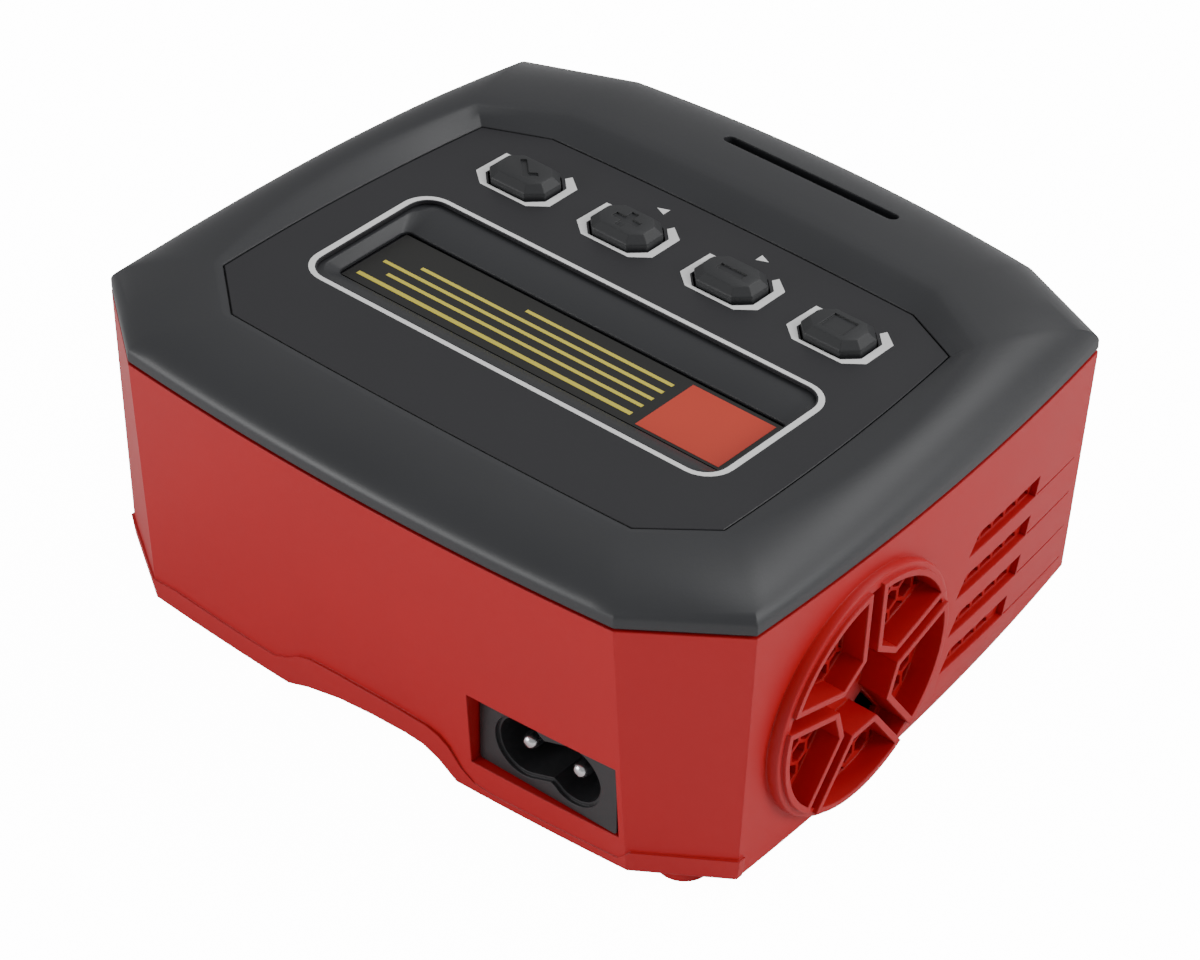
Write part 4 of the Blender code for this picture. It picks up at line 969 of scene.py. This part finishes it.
def balance_shell(pins, y, z):
    """One open socket whose back end is at y and whose middle is at z, with two keying slots at the top."""
    face = -SOCKET_SUNK
    back = face - 8.0
    half = BALANCE_ROW / 2
    front = y - balance_width(pins)
    shell = box(back, front, z - half, face, y, z + half)
    well = box(back + 1.6, front + 0.8, z - half + 0.8, face + 2, y - 0.8, z + half - 0.8)
    slots = merged([box(face - 4.5, start, z + half - 1.6, face + 1, start + 0.8, z + half + 1)
                    for start in (y - 1.9, front + 1.1)])
    body = carved(shell, ("DIFFERENCE", well), ("DIFFERENCE", slots))
    piece(f"balance_shell_{pins - 1}s", on_battery_wall(body, *BALANCE_AT), "white_nylon",
          stands_for=[f"balance_socket_{pins - 1}s"])


def balance_pegs(pins, y, z):
    start = -SOCKET_SUNK - 7.2
    pegs = []
    for i in range(pins):
        py = y - BALANCE_ENDS / 2 - BALANCE_PITCH * i
        pegs.append(soft_box((start, py - 0.32, z - 0.62, start + 4.6, py + 0.32, z + 0.02), 0.12))
    piece(f"balance_pins_{pins - 1}s", on_battery_wall(merged(pegs), *BALANCE_AT), "white_nylon",
          finish="plated_metal")


def balance_sockets():
    """Five keyed sockets in two rows, for packs of two to six cells."""
    across, rise = BALANCE_SIZE[0] / 2, (BALANCE_SIZE[1] - BALANCE_ROW) / 2
    for row, z in zip(BALANCE_PINS, (rise, -rise)):
        spare = (BALANCE_SIZE[0] - sum(balance_width(pins) for pins in row)) / (len(row) - 1)
        y = across
        for pins in row:
            balance_shell(pins, y, z)
            balance_pegs(pins, y, z)
            y -= balance_width(pins) + spare


def remaining_nodes():
    """Gives every CAD node that is still shown its procedural finish."""
    slots = {entry["node"]: entry["material_slot"] for entry in frame["record"]["subparts"]}
    for name, obj in frame["nodes"].items():
        if obj.hide_render:
            continue
        obj.data.materials.clear()
        obj.data.materials.append(FINISHES[slots[name]])
        for face in obj.data.polygons:
            face.material_index = 0


# ------------------------------------------------------------------ camera, floor and light

CAMERA_AT = (-330.47, 398.46, 426.49)
CAMERA_TURN = 219.875
CAMERA_RISE = 38.31
CAMERA_ROLL = 0.608
CAMERA_LENS = 143.48
SENSOR_WIDTH = 36.0
FLOOR_GLOW = 14.0


def camera():
    turn, rise, roll = radians(CAMERA_TURN), radians(CAMERA_RISE), radians(CAMERA_ROLL)
    back = Vector((sin(turn) * cos(rise), -cos(turn) * cos(rise), sin(rise)))
    level = Vector((cos(turn), sin(turn), 0.0))
    lift = back.cross(level)
    right = level * cos(roll) + lift * sin(roll)
    up = lift * cos(roll) - level * sin(roll)
    data = bpy.data.cameras.new("camera")
    data.lens = CAMERA_LENS
    data.sensor_width = SENSOR_WIDTH
    data.clip_start = 0.01
    obj = linked("camera", data)
    spin = Matrix((right, up, back)).transposed().to_4x4()
    obj.matrix_world = Matrix.Translation(Vector(CAMERA_AT) * MM) @ spin
    bpy.context.scene.camera = obj


def area_light(name, place, size, power):
    """A soft light, placed in metres, that looks at the charger."""
    target = Vector((0.0, 0.0, 0.02))
    data = bpy.data.lights.new(name, "AREA")
    data.shape = "RECTANGLE"
    data.size, data.size_y = size
    data.energy = power
    obj = linked(name, data)
    obj.location = place
    obj.rotation_euler = (target - Vector(place)).to_track_quat("-Z", "Y").to_euler()


def brighten_for_camera(tree):
    """Makes the floor look bright white without lighting the charger from below."""
    shader = tree.nodes["Principled BSDF"]
    shader.inputs["Emission Color"].default_value = (1.0, 1.0, 1.0, 1.0)
    rays = node(tree, "ShaderNodeLightPath")
    level = node(tree, "ShaderNodeMath", operation="MULTIPLY")
    level.inputs[1].default_value = FLOOR_GLOW
    tree.links.new(rays.outputs["Is Camera Ray"], level.inputs[0])
    tree.links.new(level.outputs["Value"], shader.inputs["Emission Strength"])


def studio():
    mesh = bpy.data.meshes.new("floor")
    reach = 3.0
    corners = [(x, y, 0) for x, y in rectangle(-reach, -reach, reach, reach)]
    mesh.from_pydata(corners, [], [(0, 1, 2, 3)])
    floor = linked("floor", mesh)
    pale = surface("pale_floor", (0.90, 0.90, 0.90), 0.7, bump=0.0, vary=0.0, soft=0.0, spec=0.1)
    brighten_for_camera(pale.node_tree)
    mesh.materials.append(pale)
    world = bpy.data.worlds.new("studio")
    bpy.context.scene.world = world
    world.use_nodes = True
    backdrop = world.node_tree.nodes["Background"]
    backdrop.inputs["Color"].default_value = (1.0, 1.0, 1.0, 1.0)
    backdrop.inputs["Strength"].default_value = 0.45
    area_light("key_light", (-1.2, -0.5, 0.75), (0.7, 0.7), 12.0)
    area_light("fill_light", (0.75, 1.15, 0.35), (0.7, 0.7), 11.0)
    area_light("top_light", (-0.2, -0.9, 1.2), (0.9, 0.9), 8.0)


case_shell()
cover_shell()
panel_overlay()
panel_prints()
keys()
display()
mains_inlet()
fan_housing()
fan_impeller()
output_socket()
balance_sockets()
remaining_nodes()
camera()
studio()
